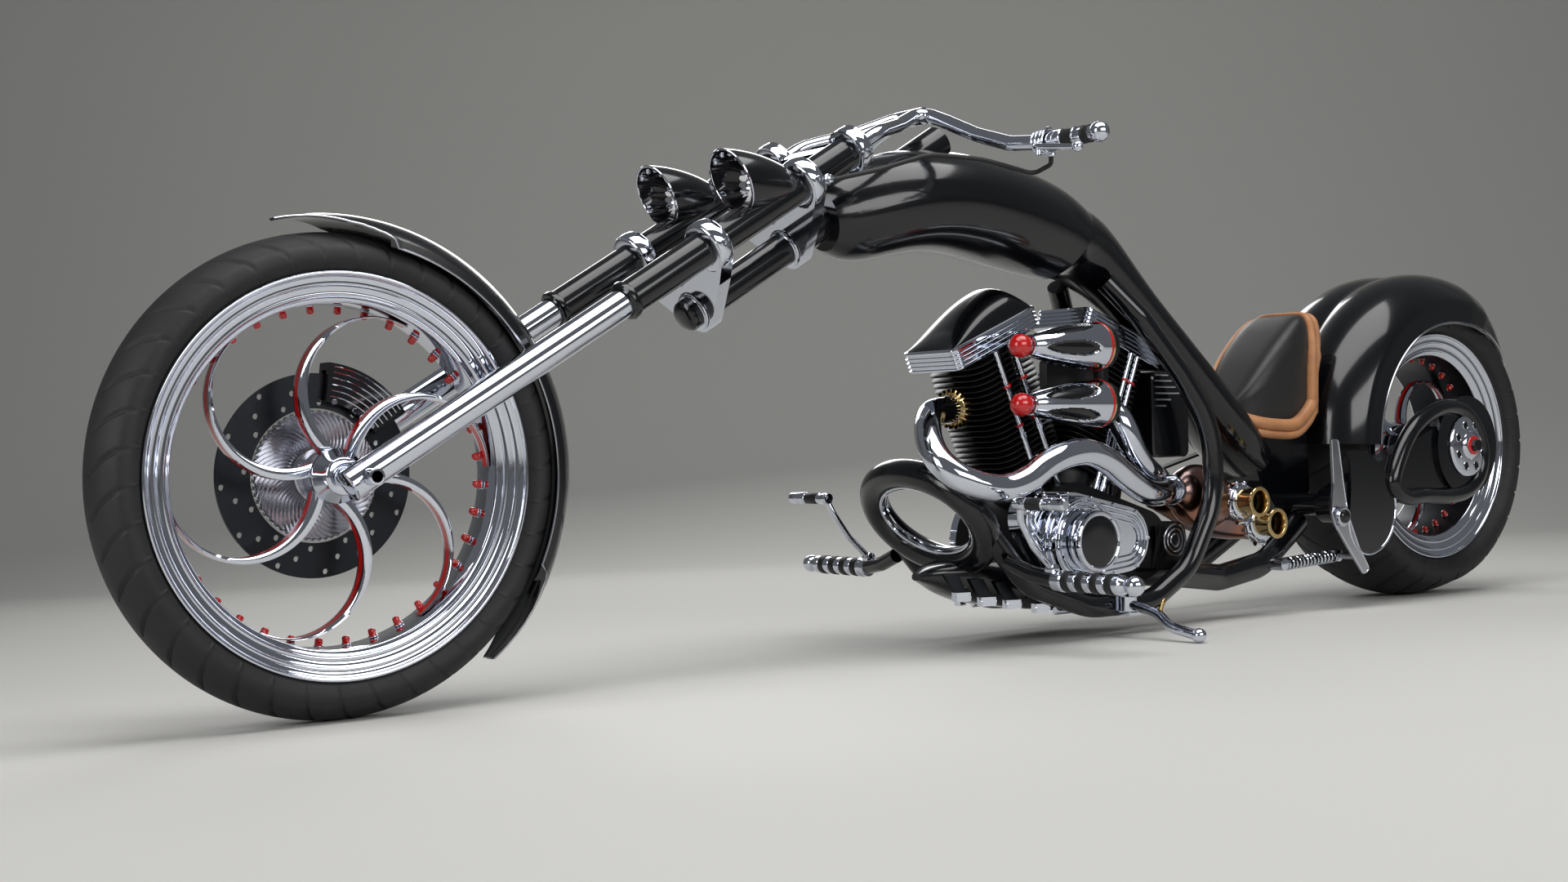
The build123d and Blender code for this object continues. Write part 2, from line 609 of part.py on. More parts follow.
def build_seat():
    # columns: x, crest height, half width, lower edge height
    rows = [(568, 436, 56, 392), (520, 486, 116, 366), (440, 566, 142, 374), (400, 606, 132, 430)]
    faces = []
    for x, crest, half_w, low in rows:
        face = make_face([ThreePointArc((-half_w, low), (0, crest), (half_w, low)), Line((half_w, low), (-half_w, low))])
        faces.append(Plane(origin=(x, 0, 0), x_dir=(0, 1, 0), z_dir=(1, 0, 0)) * face)
    parts["seat_pad"] = keep_largest(loft(Sketch() + faces, ruled=True) - parts["spine"])


def build_rear():
    arm = side_hull([(0, rear_tyre_r, 72), (pivot_x, pivot_z, 36)], swing_y, swing_y + swing_t)
    arm += side_disc(0, rear_tyre_r, 106, swing_y + 6, swing_y + swing_t + 8)
    arm += side_disc(0, rear_tyre_r, rear_axle_r, -192, swing_y + 1)
    arm += side_disc(pivot_x, pivot_z, 22, -70, swing_y + 1)
    arm -= side_disc(0, rear_tyre_r, 10, -200, swing_y + 60)
    parts["swingarm"] = arm
    frame = Part()
    for side in (-1, 1):
        y = side * 84
        frame += bent_tube([(836, side * 110, 112), (700, y, 96), (560, y, 120), (pivot_x + 22, y * 0.788, 190)], 16, [80, 80])
        frame -= bent_tube(rail_points(side), rail_r + fit_gap, rail_bends)
    parts["rear_rails"] = frame
    outline = make_face(Polyline((374, 330), (382, 412), (470, 412), (560, 345), (530, 270), (462, 190),
                                 (400, 186), (372, 250), close=True))
    base = side_slab(Plane.XZ * outline, -50, 50) - parts["spine"] - parts["seat_pad"]
    parts["seat_base"] = keep_largest(base - side_disc(pivot_x, pivot_z, 22 + fit_gap, -80, 80))
    strap = make_face_xz([(458, 350), (438, 350), (424, 262), (412, 200), (378, 130), (345, 84), (364, 76),
                          (402, 120), (450, 178), (463, 205), (455, 262)])
    face_y = swing_y + swing_t + fit_gap
    plate = side_slab(strap, face_y, face_y + 6) + side_disc(437, 196, 17, face_y, face_y + 12)
    pin_x, pin_z, spring_y = 381, 112, 118
    parts["rocker_plate"] = plate + side_disc(pin_x, pin_z, 6, spring_y - 12, face_y + 1)
    leaf = Plane.XZ * make_face(Sketch() + [
        ThreePointArc((408, 186), (398, 262), (404, 326)), ThreePointArc((404, 326), (315, 306), (256, 232)),
        ThreePointArc((256, 232), (266, 160), (322, 118)), ThreePointArc((322, 118), (380, 126), (408, 186))])
    cover = side_slab(leaf, face_y, face_y + 5)
    parts["leaf_cover"] = cover - side_slab(strap, face_y - 1, face_y + 9)
    coils = Part()
    axis = Vector(pin_x - 554, 0, pin_z - 104)
    plane = Plane(origin=(554, spring_y, 104), z_dir=axis)
    coils += extrude(plane * Circle(8), axis.length)
    for number in range(12):
        coils += extrude(plane.offset(14 + 12 * number) * Circle(12), 6)
    coils += side_disc(554, 104, 12, 97.8, spring_y + 10) + side_disc(pin_x, pin_z, 12, spring_y - 9, spring_y + 9)
    parts["rear_spring"] = coils - side_disc(pin_x, pin_z, 6 + fit_gap, 90, 160)
    loop_out = side_hull([(0, rear_tyre_r, rear_pulley_r + 0.4 + belt_t), (925, 165, front_pulley_r + 0.4 + belt_t)],
                         belt_y - belt_w / 2, belt_y + belt_w / 2)
    loop_in = side_hull([(0, rear_tyre_r, rear_pulley_r + 0.4), (925, 165, front_pulley_r + 0.4)],
                        belt_y - belt_w, belt_y + belt_w)
    parts["drive_belt"] = loop_out - loop_in


def build_pegs():
    pegs, levers = Part(), Part()
    for side in (1, -1):
        peg = side_disc(peg_x, peg_z, 17, *sorted((side * peg_inner_y, side * peg_outer_y)))
        peg += Pos(peg_x, side * (peg_outer_y + 8), peg_z) * Sphere(17)
        arm = bent_tube([(1326, side * 150, 158), (1320, side * 200, 140), (peg_x, side * (peg_inner_y + 4), peg_z)], 13, [60])
        arm = keep_largest(arm - bent_tube(rail_points(side), rail_r + fit_gap, rail_bends))
        pegs += peg + arm
        lever = bent_tube([(peg_x + 4, side * 246, peg_z + 19.6), (1360, side * 248, 190), (1392, side * 252, 235),
                           (1402, side * 262, 265)], 6, [60, 40])
        lever += side_disc(1402, 265, 11, *sorted((side * 260, side * 369)))
        levers += lever
    parts["footpegs"] = pegs
    parts["foot_levers"] = levers


def build_brake_line():
    line = bent_tube(fork_points([(grip_s + 2, grip_up - 22.2, 318), (grip_s + 4, -160, 305), (grip_s - 5, -168, 268),
                                  (grip_s - 43, -112, 204), (grip_s - 111, -65, 170), (grip_s - 212, -41, 158),
                                  (fork_reach + 30, -15, 133.4)]), 4, [14, 26, 70, 90, 60])
    parts["brake_line"] = line


def build_stand():
    x, y = stand_foot
    foot_z = y * tan(lean) + stand_ball_r / cos(lean)
    px, py, pz = stand_pivot
    leg = bent_tube([(px, py, pz), (px + 10, py + 80, pz - 12), (x - 8, y - 70, foot_z + 8), (x, y, foot_z)], stand_r, [120, 120])
    leg += Pos(x, y, foot_z) * Sphere(stand_ball_r)
    leg += Pos(px, py, pz) * Cylinder(15, 26)
    leg -= Pos(px, py, pz) * Cylinder(5.3, 40)
    parts["side_stand"] = leg
    lug = Pos(px, 140, pz) * Box(32, 25, 40)
    for side in (-1, 1):
        lug += Pos(px, 164, pz + side * 17.5) * Box(32, 40, 5)
    lug -= bent_tube(rail_points(1), rail_r + fit_gap, rail_bends)
    parts["stand_lug"] = lug + Pos(px, py, pz) * Cylinder(5, 40)


def stand_it():
    """Leans the bike onto its stand and puts the middle of its footprint at the origin."""
    leaned = {name: Rot(-lean_deg, 0, 0) * solid for name, solid in parts.items()}
    boxes = [solid.bounding_box() for solid in leaned.values()]
    low_x, high_x = min(b.min.X for b in boxes), max(b.max.X for b in boxes)
    low_y, high_y = min(b.min.Y for b in boxes), max(b.max.Y for b in boxes)
    low_z = min(b.min.Z for b in boxes)
    shift = Pos(-(low_x + high_x) / 2, -(low_y + high_y) / 2, -low_z)
    return shift, {name: shift * solid for name, solid in leaned.items()}


def build_all():
    build_front_wheel()
    build_rear_wheel()
    build_fork()
    build_controls()
    build_lamps()
    build_guards()
    build_brake()
    build_tank()
    build_frame()
    build_engine()
    build_engine_trim()
    build_intake()
    build_exhaust()
    build_seat()
    build_rear()
    build_pegs()
    build_brake_line()
    build_stand()
    return stand_it()


if __name__ == "__main__":
    os.makedirs("parts", exist_ok=True)
    shift, standing = build_all()
    print("shift", shift.position)
    for name, solid in standing.items():
        export_step(solid, "parts/" + name + ".step")
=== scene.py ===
import json
from math import atan2, cos, hypot, pi, radians, sin, sqrt, tan

import bmesh
import bpy
from mathutils import Matrix, Vector


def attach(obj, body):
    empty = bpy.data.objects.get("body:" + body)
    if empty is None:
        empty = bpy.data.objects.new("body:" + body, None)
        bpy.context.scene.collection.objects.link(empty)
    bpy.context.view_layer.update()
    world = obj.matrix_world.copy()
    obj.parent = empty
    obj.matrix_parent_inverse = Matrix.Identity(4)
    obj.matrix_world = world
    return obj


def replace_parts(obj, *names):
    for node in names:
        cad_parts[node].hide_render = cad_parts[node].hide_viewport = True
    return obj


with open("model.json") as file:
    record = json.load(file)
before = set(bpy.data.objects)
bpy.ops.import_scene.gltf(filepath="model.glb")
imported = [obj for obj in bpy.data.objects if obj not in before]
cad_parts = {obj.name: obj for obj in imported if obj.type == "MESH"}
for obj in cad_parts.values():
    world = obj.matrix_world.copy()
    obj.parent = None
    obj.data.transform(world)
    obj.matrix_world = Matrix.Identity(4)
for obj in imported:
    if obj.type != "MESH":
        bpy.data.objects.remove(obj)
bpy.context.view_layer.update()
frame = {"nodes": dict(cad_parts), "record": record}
nodes = frame["nodes"]

# The bike is drawn upright in millimetres, with x from the rear axle to the front and z up from the ground.
# shared() leans it on its stand and puts it in the frame that the solids use, in metres.
leanAngle = radians(2.0)
sharedShift = (-1.2605, -0.0217957, 0.000120429)


def shared(x, y, z):
    x, y, z = x / 1000, y / 1000, z / 1000
    return Vector((x + sharedShift[0],
                   y * cos(leanAngle) + z * sin(leanAngle) + sharedShift[1],
                   z * cos(leanAngle) - y * sin(leanAngle) + sharedShift[2]))


# x and z of the axles in the bike's frame
frontAxle = (2500, 348)
rearAxle = (0, 327)
forkSlope = radians(30.1)


def forkPoint(s, up=0.0, across=0.0):
    # millimetres along the fork from the front axle, up square to it, and to the left
    return (frontAxle[0] - s * cos(forkSlope) + up * sin(forkSlope), across,
            frontAxle[1] + s * sin(forkSlope) + up * cos(forkSlope))


# Materials

def linear(hexColour):
    channels = [int(hexColour[i:i + 2], 16) / 255 for i in (0, 2, 4)]
    return [c / 12.92 if c <= 0.04045 else ((c + 0.055) / 1.055) ** 2.4 for c in channels] + [1.0]


def addNode(tree, kind, values, links):
    made = tree.nodes.new(kind)
    for socket, value in values.items():
        made.inputs[socket].default_value = value
    for socket, output in links.items():
        tree.links.new(output, made.inputs[socket])
    return made


def shader(name, colour, metallic=0.0, roughness=0.4, coat=0.0, coatRough=0.03, ior=1.5, sheen=0.0,
           noise=None, bump=None, wear=None):
    # noise varies the roughness, bump gives a grain, wear mixes in a second colour; a spot's size is in mm
    material = bpy.data.materials.new(name)
    material.use_nodes = True
    tree = material.node_tree
    shade = tree.nodes["Principled BSDF"]
    plain = {"Base Color": linear(colour), "Metallic": metallic, "Roughness": roughness, "IOR": ior,
             "Coat Weight": coat, "Coat Roughness": coatRough, "Sheen Weight": sheen}
    for socket, value in plain.items():
        shade.inputs[socket].default_value = value
    place = addNode(tree, "ShaderNodeTexCoord", {}, {}).outputs["Object"]
    if noise:
        spot, low, high = noise
        texture = addNode(tree, "ShaderNodeTexNoise", {"Scale": 1000 / spot, "Detail": 5.0}, {"Vector": place})
        spread = addNode(tree, "ShaderNodeMapRange", {"To Min": low, "To Max": high},
                         {"Value": texture.outputs["Fac"]})
        tree.links.new(spread.outputs["Result"], shade.inputs["Roughness"])
    if bump:
        kind, spot, strength, distance = bump
        pattern, height = {"cells": ("ShaderNodeTexVoronoi", "Distance"), "noise": ("ShaderNodeTexNoise", "Fac")}[kind]
        texture = addNode(tree, pattern, {"Scale": 1000 / spot}, {"Vector": place})
        raised = addNode(tree, "ShaderNodeBump", {"Strength": strength, "Distance": distance},
                         {"Height": texture.outputs[height]})
        tree.links.new(raised.outputs["Normal"], shade.inputs["Normal"])
    if wear:
        second, spot, low, high = wear
        texture = addNode(tree, "ShaderNodeTexNoise", {"Scale": 1000 / spot, "Detail": 6.0}, {"Vector": place})
        spread = addNode(tree, "ShaderNodeMapRange", {"From Min": low, "From Max": high},
                         {"Value": texture.outputs["Fac"]})
        mix = tree.nodes.new("ShaderNodeMix")
        mix.data_type = "RGBA"
        mix.inputs["A"].default_value = linear(colour)
        mix.inputs["B"].default_value = linear(second)
        tree.links.new(spread.outputs["Result"], mix.inputs["Factor"])
        tree.links.new(mix.outputs["Result"], shade.inputs["Base Color"])
    return material


materials = {
    # lacquer over black: deep and even, with broad soft lights in its clear coat
    "black_paint": shader("glossBlack", "05060a", roughness=0.3, coat=1.0, coatRough=0.12, ior=1.2,
                          noise=(167, 0.24, 0.36)),
    # plated and buffed steel: a cool mirror, a little uneven
    "chrome": shader("chrome", "d6dae4", metallic=1.0, roughness=0.05, noise=(71, 0.03, 0.08)),
    # cast aluminium, polished by hand: softer lights and a trace of the casting
    "polished": shader("polishedCasting", "b9bac0", metallic=1.0, roughness=0.2, noise=(33, 0.14, 0.28),
                       bump=("noise", 2.4, 0.05, 0.0004)),
    # heat-proof engine enamel: dull, with a fine grain
    "black_engine": shader("satinBlack", "0b0b0d", roughness=0.42, ior=1.35, noise=(25, 0.36, 0.5),
                           bump=("noise", 1.1, 0.06, 0.0003)),
    # blued steel of the disc and the strips: dark, half dull
    "steel": shader("darkSteel", "2a2c30", metallic=0.9, roughness=0.32, noise=(17, 0.26, 0.4)),
    # moulded tyre: matt, greyer where it is dusty
    "tyre": shader("tyreRubber", "121214", roughness=0.62, noise=(20, 0.55, 0.72),
                   bump=("noise", 0.67, 0.12, 0.0003), wear=("1c1c1e", 111, 0.4, 0.75)),
    # soft rubber of the bands on grips and pegs
    "rubber": shader("rubber", "0c0c0d", roughness=0.55, bump=("noise", 0.83, 0.1, 0.0003), noise=(20, 0.48, 0.62)),
    # grained cowhide, dyed through; the grain is drawn a little coarse so that it shows
    "leather": shader("blackHide", "0d0c0c", roughness=0.42, sheen=0.1, bump=("cells", 1.43, 0.25, 0.0005),
                      noise=(25, 0.34, 0.5)),
    # tan cowhide of the rolls, darker where it is rubbed
    "tan_leather": shader("tanHide", "b07a4e", roughness=0.45, sheen=0.1, bump=("cells", 1.6, 0.25, 0.0005),
                          wear=("8a5a38", 45, 0.35, 0.8)),
    # enamel of the balls, rings and blade flanks
    "red": shader("red", "b80a06", roughness=0.22, coat=0.8, noise=(50, 0.18, 0.28)),
    # turned brass, lightly brushed
    "brass": shader("brass", "cfb480", metallic=1.0, roughness=0.16, noise=(33, 0.1, 0.24)),
    # copper that heat has greyed in places
    "copper": shader("copper", "a8745c", metallic=1.0, roughness=0.2, noise=(56, 0.12, 0.28),
                     wear=("6f6a70", 71, 0.35, 0.7)),
    # silvered bowls of the lamps
    "reflector": shader("reflector", "e6e6ec", metallic=1.0, roughness=0.05, noise=(100, 0.03, 0.08)),
}
slotOf = {entry["node"]: entry["material_slot"] for entry in frame["record"]["subparts"]}
for name, node in nodes.items():
    node.data.materials.clear()
    node.data.materials.append(materials[slotOf[name]])
print("materials set on", len(nodes), "nodes")


# Mesh helpers

def addMesh(name, points, faces, slot, body, smooth=True, marks=None, extra=()):
    # points are in the bike's frame; marks gives each face the number of its material in (slot, *extra)
    mesh = bpy.data.meshes.new(name)
    mesh.from_pydata([shared(*p) for p in points], [], faces)
    mesh.validate()
    piece = bpy.data.objects.new(name, mesh)
    bpy.context.collection.objects.link(piece)
    for key in (slot, *extra):
        mesh.materials.append(materials[key])
    for index, polygon in enumerate(mesh.polygons):
        polygon.use_smooth = smooth
        if marks:
            polygon.material_index = marks[index]
    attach(piece, body)
    return piece


def autoSmooth(piece, angle=35):
    bpy.ops.object.select_all(action="DESELECT")
    piece.select_set(True)
    bpy.context.view_layer.objects.active = piece
    bpy.ops.object.shade_smooth_by_angle(angle=radians(angle))


for name, node in nodes.items():
    autoSmooth(node, 28)

# Shapes: points in the bike's frame, faces and their material numbers

def newShape():
    return {"points": [], "faces": [], "marks": []}


def addRings(shape, rings, closedRings=False, caps=True, mark=0):
    # mark is a material's number, or gives one for each span i and side k
    numberAt = mark if callable(mark) else lambda i, k: mark
    base, count = len(shape["points"]), len(rings[0])
    for ring in rings:
        shape["points"] += [tuple(point) for point in ring]
    spans = len(rings) if closedRings else len(rings) - 1
    for i in range(spans):
        low, high = base + i * count, base + (i + 1) % len(rings) * count
        for k in range(count):
            m = (k + 1) % count
            shape["faces"].append((low + k, low + m, high + m, high + k))
            shape["marks"].append(numberAt(i, k))
    if caps and not closedRings:
        shape["faces"] += [tuple(base + k for k in range(count))[::-1],
                           tuple(base + (len(rings) - 1) * count + k for k in range(count))]
        shape["marks"] += [numberAt(0, 0), numberAt(spans - 1, 0)]


def axesAround(direction):
    direction = Vector(direction).normalized()
    helper = Vector((0, 0, 1)) if abs(direction.z) < 0.9 else Vector((0, 1, 0))
    first = direction.cross(helper).normalized()
    return first, direction.cross(first)


def addTurned(shape, origin, axis, profile, steps=40, mark=0, caps=True):
    # profile holds (along, radius) pairs; mark may be a list with one number for each run
    axis = Vector(axis).normalized()
    first, second = axesAround(axis)
    rings = []
    for along, radius in profile:
        centre = Vector(origin) + axis * along
        rings.append([centre + (first * cos(2 * pi * k / steps) + second * sin(2 * pi * k / steps)) * radius
                      for k in range(steps)])
    chosen = (lambda i, k: mark[i]) if isinstance(mark, (list, tuple)) else mark
    addRings(shape, rings, caps=caps, mark=chosen)


def addTube(shape, path, radius, sides=12, closed=False, mark=0):
    points = [Vector(point) for point in path]
    count = len(points)
    rings, first = [], None
    for i, point in enumerate(points):
        before = points[i - 1] if i or closed else point
        after = points[(i + 1) % count] if i < count - 1 or closed else point
        direction = (after - before).normalized()
        if first is None:
            first = axesAround(direction)[0]
        first = (first - direction * first.dot(direction)).normalized()
        second = direction.cross(first)
        rings.append([point + (first * cos(2 * pi * k / sides) + second * sin(2 * pi * k / sides)) * radius
                      for k in range(sides)])
    addRings(shape, rings, closedRings=closed, mark=mark)


def addBall(shape, centre, radius, steps=20, mark=0):
    rows = steps // 2
    profile = [(-radius * cos(pi * i / rows), max(radius * sin(pi * i / rows), 0.02)) for i in range(rows + 1)]
    addTurned(shape, centre, (0, 1, 0), profile, steps, mark)


def addRing(shape, centre, axis, ringR, radius, steps=48, sides=10, mark=0):
    first, second = axesAround(axis)
    path = [Vector(centre) + (first * cos(2 * pi * k / steps) + second * sin(2 * pi * k / steps)) * ringR
            for k in range(steps)]
    addTube(shape, path, radius, sides, closed=True, mark=mark)


def finishShape(name, shape, slot, body, extra=(), angle=35):
    piece = addMesh(name, shape["points"], shape["faces"], slot, body, marks=shape["marks"], extra=extra)
    mesh = bmesh.new()
    mesh.from_mesh(piece.data)
    bmesh.ops.recalc_face_normals(mesh, faces=mesh.faces)
    mesh.to_mesh(piece.data)
    mesh.free()
    autoSmooth(piece, angle)
    return piece


def roundedPath(points, bends, steps=9):
    corners = [Vector(point) for point in points]
    path = [corners[0]]
    for before, corner, after, bend in zip(corners, corners[1:], corners[2:], bends):
        first, second = corner - before, after - corner
        turn = first.angle(second)
        if turn < 0.01:
            path.append(corner)
            continue
        reach = min(bend * tan(turn / 2), 0.49 * min(first.length, second.length))
        start, end = corner - first.normalized() * reach, corner + second.normalized() * reach
        middle = corner + (second.normalized() - first.normalized()).normalized() * (reach / sin(turn / 2))
        for i in range(steps + 1):
            share = turn * i / steps
            path.append(middle + (start - middle) * (sin(turn - share) / sin(turn))
                        + (end - middle) * (sin(share) / sin(turn)))
    path.append(corners[-1])
    return path


def arcList(a, b, c, steps):
    return arcThrough(a, b, c, steps) + [c]


def smoothRow(rows, share):
    # a smooth curve through equal-length rows of numbers, share from 0 to 1
    place = min(max(share, 0), 0.999999) * (len(rows) - 1)
    i = int(place)
    t = place - i
    p0, p1, p2, p3 = rows[max(i - 1, 0)], rows[i], rows[i + 1], rows[min(i + 2, len(rows) - 1)]
    return [0.5 * (2 * b + (c - a) * t + (2 * a - 5 * b + 4 * c - d) * t * t + (3 * b - a - 3 * c + d) * t ** 3)
            for a, b, c, d in zip(p0, p1, p2, p3)]


def roundedBox(halfA, halfB, corner, steps=5):
    points = []
    for quarter, (signA, signB) in enumerate(((1, 1), (-1, 1), (-1, -1), (1, -1))):
        for i in range(steps + 1):
            angle = pi / 2 * (quarter + i / steps)
            points.append((signA * (halfA - corner) + corner * cos(angle),
                           signB * (halfB - corner) + corner * sin(angle)))
    return points


# Softer edges on the plain solids, in millimetres
bevels = {"fork_clamps": 3.0, "bar_clamp": 3.0, "cam_cover": 4.0, "drive_cover": 4.0, "rocker_plate": 1.2,
          "leaf_cover": 1.0, "swingarm": 6.0, "crankcase": 4.0, "rear_pulley": 1.2, "stand_lug": 1.5,
          "seat_base": 5.0, "brake_caliper": 2.0}
for name, width in bevels.items():
    bevel = nodes[name].modifiers.new("softEdges", "BEVEL")
    bevel.width = width / 1000
    bevel.segments = 3
    bevel.limit_method = "ANGLE"
    bevel.angle_limit = radians(40)
    bevel.harden_normals = True
print("edges softened")

# Wheels

def wheelPoint(centre, angle, radius, y):
    # the angle is measured from straight ahead upwards
    return (centre[0] + radius * cos(angle), y, centre[1] + radius * sin(angle))


def lathe(name, centre, profile, slot, body, steps=144, closed=True, bend=None, extra=(), mark=None):
    # turns (radius, y) corners round an axle; bend may move a point in radius by its angle
    points, faces, marks = [], [], []
    count = len(profile)
    for i in range(steps):
        angle = 2 * pi * i / steps
        for j, (radius, y) in enumerate(profile):
            moved = radius + (bend(angle, j, y) if bend else 0)
            points.append(wheelPoint(centre, angle, moved, y))
    runs = count if closed else count - 1
    for i in range(steps):
        k = (i + 1) % steps
        for j in range(runs):
            m = (j + 1) % count
            faces.append((i * count + j, i * count + m, k * count + m, k * count + j))
            marks.append(mark(j) if mark else 0)
    return addMesh(name, points, faces, slot, body, marks=marks, extra=extra)


def arcThrough(a, b, c, steps):
    # points of the circle through three points, from a to c, without c
    (ax, ay), (bx, by), (cx, cy) = a, b, c
    d = 2 * (ax * (by - cy) + bx * (cy - ay) + cx * (ay - by))
    squareA, squareB, squareC = ax * ax + ay * ay, bx * bx + by * by, cx * cx + cy * cy
    ux = (squareA * (by - cy) + squareB * (cy - ay) + squareC * (ay - by)) / d
    uy = (squareA * (cx - bx) + squareB * (ax - cx) + squareC * (bx - ax)) / d
    radius = hypot(ax - ux, ay - uy)
    start, middle, end = (atan2(q[1] - uy, q[0] - ux) for q in (a, b, c))
    sweep = (end - start) % (2 * pi)
    if not 0 < (middle - start) % (2 * pi) < sweep:
        sweep -= 2 * pi
    return [(ux + radius * cos(start + sweep * i / steps), uy + radius * sin(start + sweep * i / steps))
            for i in range(steps)]


tyreSizes = {
    "front": {"centre": frontAxle, "radius": 348, "width": 118, "bead": 284, "beadWidth": 95, "lip": 290,
              "drop": 17, "shoulder": 92, "grooves": 38, "sweep": 0.17, "from": 0.10, "to": 0.93,
              "deep": 4.6, "wide": 0.0115, "steps": 1368},
    "rear": {"centre": rearAxle, "radius": 327, "width": 248, "bead": 238, "beadWidth": 203, "lip": 244,
             "drop": 26, "shoulder": 196, "grooves": 30, "sweep": 0.20, "from": 0.08, "to": 0.90,
             "deep": 4.6, "wide": 0.0115, "steps": 1080},
}


def buildTyre(end):
    size = tyreSizes[end]
    shoulderR = size["radius"] - size["drop"]
    wallR = (size["lip"] + shoulderR) / 2
    half, shoulder, bead = size["width"] / 2, size["shoulder"] / 2, size["beadWidth"] / 2
    side = arcThrough((size["lip"] + 1, bead), (wallR, half), (shoulderR, shoulder), 9)
    crown = arcThrough((shoulderR, shoulder), (size["radius"], 0), (shoulderR, -shoulder), 36)
    left = [(size["bead"], bead)] + side
    right = [(r, -y) for r, y in left[::-1]]
    profile = left + crown + [(shoulderR, -shoulder)] + right
    lengths = [0.0]
    for (r0, y0), (r1, y1) in zip(profile, profile[1:]):
        lengths.append(lengths[-1] + hypot(r1 - r0, y1 - y0))
    middle = lengths[-1] / 2
    reach = middle - (size["lip"] + 1 - size["bead"])
    pitch = 2 * pi / size["grooves"]

    def groove(angle, j, y):
        u = abs(lengths[j] - middle) / reach
        if not size["from"] < u < size["to"]:
            return 0
        path = size["sweep"] * (1 - u) ** 2 + (pitch / 2 if y < 0 else 0)
        off = (angle + path + pitch / 2) % pitch - pitch / 2
        taper = min(1, (u - size["from"]) * 6, (size["to"] - u) * 7)
        width = size["wide"] * (frontAxle[1] / size["radius"]) * taper + 0.001
        return -size["deep"] * max(0, 1 - (off / width) ** 2)

    return lathe(end + "TyreTread", size["centre"], profile, "tyre", end + "_wheel", size["steps"], bend=groove)


rimSizes = {
    "front": {"centre": frontAxle, "lip": 290, "barrel": 246, "half": 52, "studs": 36, "studY": -17},
    "rear": {"centre": rearAxle, "lip": 244, "barrel": 196, "half": 106, "studs": 30, "studY": 40},
    # a stud from the barrel inwards: height, radius, material
    "stud": ((0.5, 6.2, 0), (1.8, 7.6, 0), (2.6, 7.4, 0), (2.7, 5.8, 1), (11.0, 5.6, 1), (13.0, 4.2, 1),
             (13.8, 0.5, 1)),
    "studSides": 12,
}


def rimFace(lip, barrel, half):
    # radius and y from the lip down the steps to the barrel
    rise = lip - barrel
    edge = [(lip - 3, half - 4.5), (lip - 1, half - 3), (lip, half - 1.5), (lip - 1, half - 0.3),
            (lip - 3, half), (lip - 5, half - 0.5), (lip - 6, half - 2), (lip - 7, half - 5)]
    steps = [(0.36, 7.5), (0.40, 7), (0.44, 8), (0.46, 11), (0.70, 13), (0.74, 12.5), (0.78, 13.5), (0.80, 17)]
    foot = [(barrel + 3, half - 19), (barrel + 0.8, half - 20), (barrel, half - 22.5)]
    return edge + [(lip - rise * share, half - inward) for share, inward in steps] + foot


def buildRim(end):
    size = rimSizes[end]
    lip, barrel, half = size["lip"], size["barrel"], size["half"]
    face = rimFace(lip, barrel, half)
    back = [(barrel + 6, half - 24), (lip - 6.3, half - 12), (lip - 6.3, half - 8)]
    other = [(r, -y) for r, y in face[::-1]]
    otherBack = [(r, -y) for r, y in back]
    inside = len(face) - 1 if end == "rear" else -1  # the rear barrel's inner face takes dark steel as painted shade, for the shade deep inside the barrel
    lathe(end + "RimSteps", size["centre"], face + other + otherBack[::-1] + back, "chrome", end + "_wheel", 240,
          extra=("steel",), mark=lambda j: 1 if j == inside else 0)
    points, faces, marks = [], [], []
    ring, levels = rimSizes["studSides"], rimSizes["stud"]
    for number in range(size["studs"]):
        angle = 2 * pi * (number + 0.5) / size["studs"]
        base = len(points)
        for height, radius, _ in levels:
            for k in range(ring):
                turnBy = 2 * pi * k / ring
                tangent = radius * cos(turnBy)
                y = size["studY"] + radius * sin(turnBy)
                x, y, z = wheelPoint(size["centre"], angle, barrel - height, y)
                points.append((x - tangent * sin(angle), y, z + tangent * cos(angle)))
        for level in range(len(levels) - 1):
            low, high = base + level * ring, base + (level + 1) * ring
            for k in range(ring):
                m = (k + 1) % ring
                faces.append((low + k, low + m, high + m, high + k))
                marks.append(levels[level + 1][2])
        faces.append(tuple(base + (len(levels) - 1) * ring + k for k in range(ring)))
        marks.append(1)
    addMesh(end + "RimStuds", points, faces, "chrome", end + "_wheel", marks=marks, extra=("red",))


spokeSizes = {
    "front": {"centre": frontAxle, "barrel": 246, "root": 15, "hubR": 40, "hubHalf": 42, "depth": 26, "boreR": 12,
              "lead": 118.6},
    "rear": {"centre": rearAxle, "barrel": 196, "root": 20, "hubR": 52, "hubHalf": 121, "depth": 20, "boreR": 16,
             "lead": 88},
    "count": 6, "steps": 40,
    # a blade's section: share across it, and share of its depth
    "section": ((-1, 1), (-0.93, 1.28), (0, 1.5), (0.93, 1.28), (1, 1), (1, -1), (0.93, -1.28), (0, -1.5),
                (-0.93, -1.28), (-1, -1)),
    "redSides": (4, 9),
}


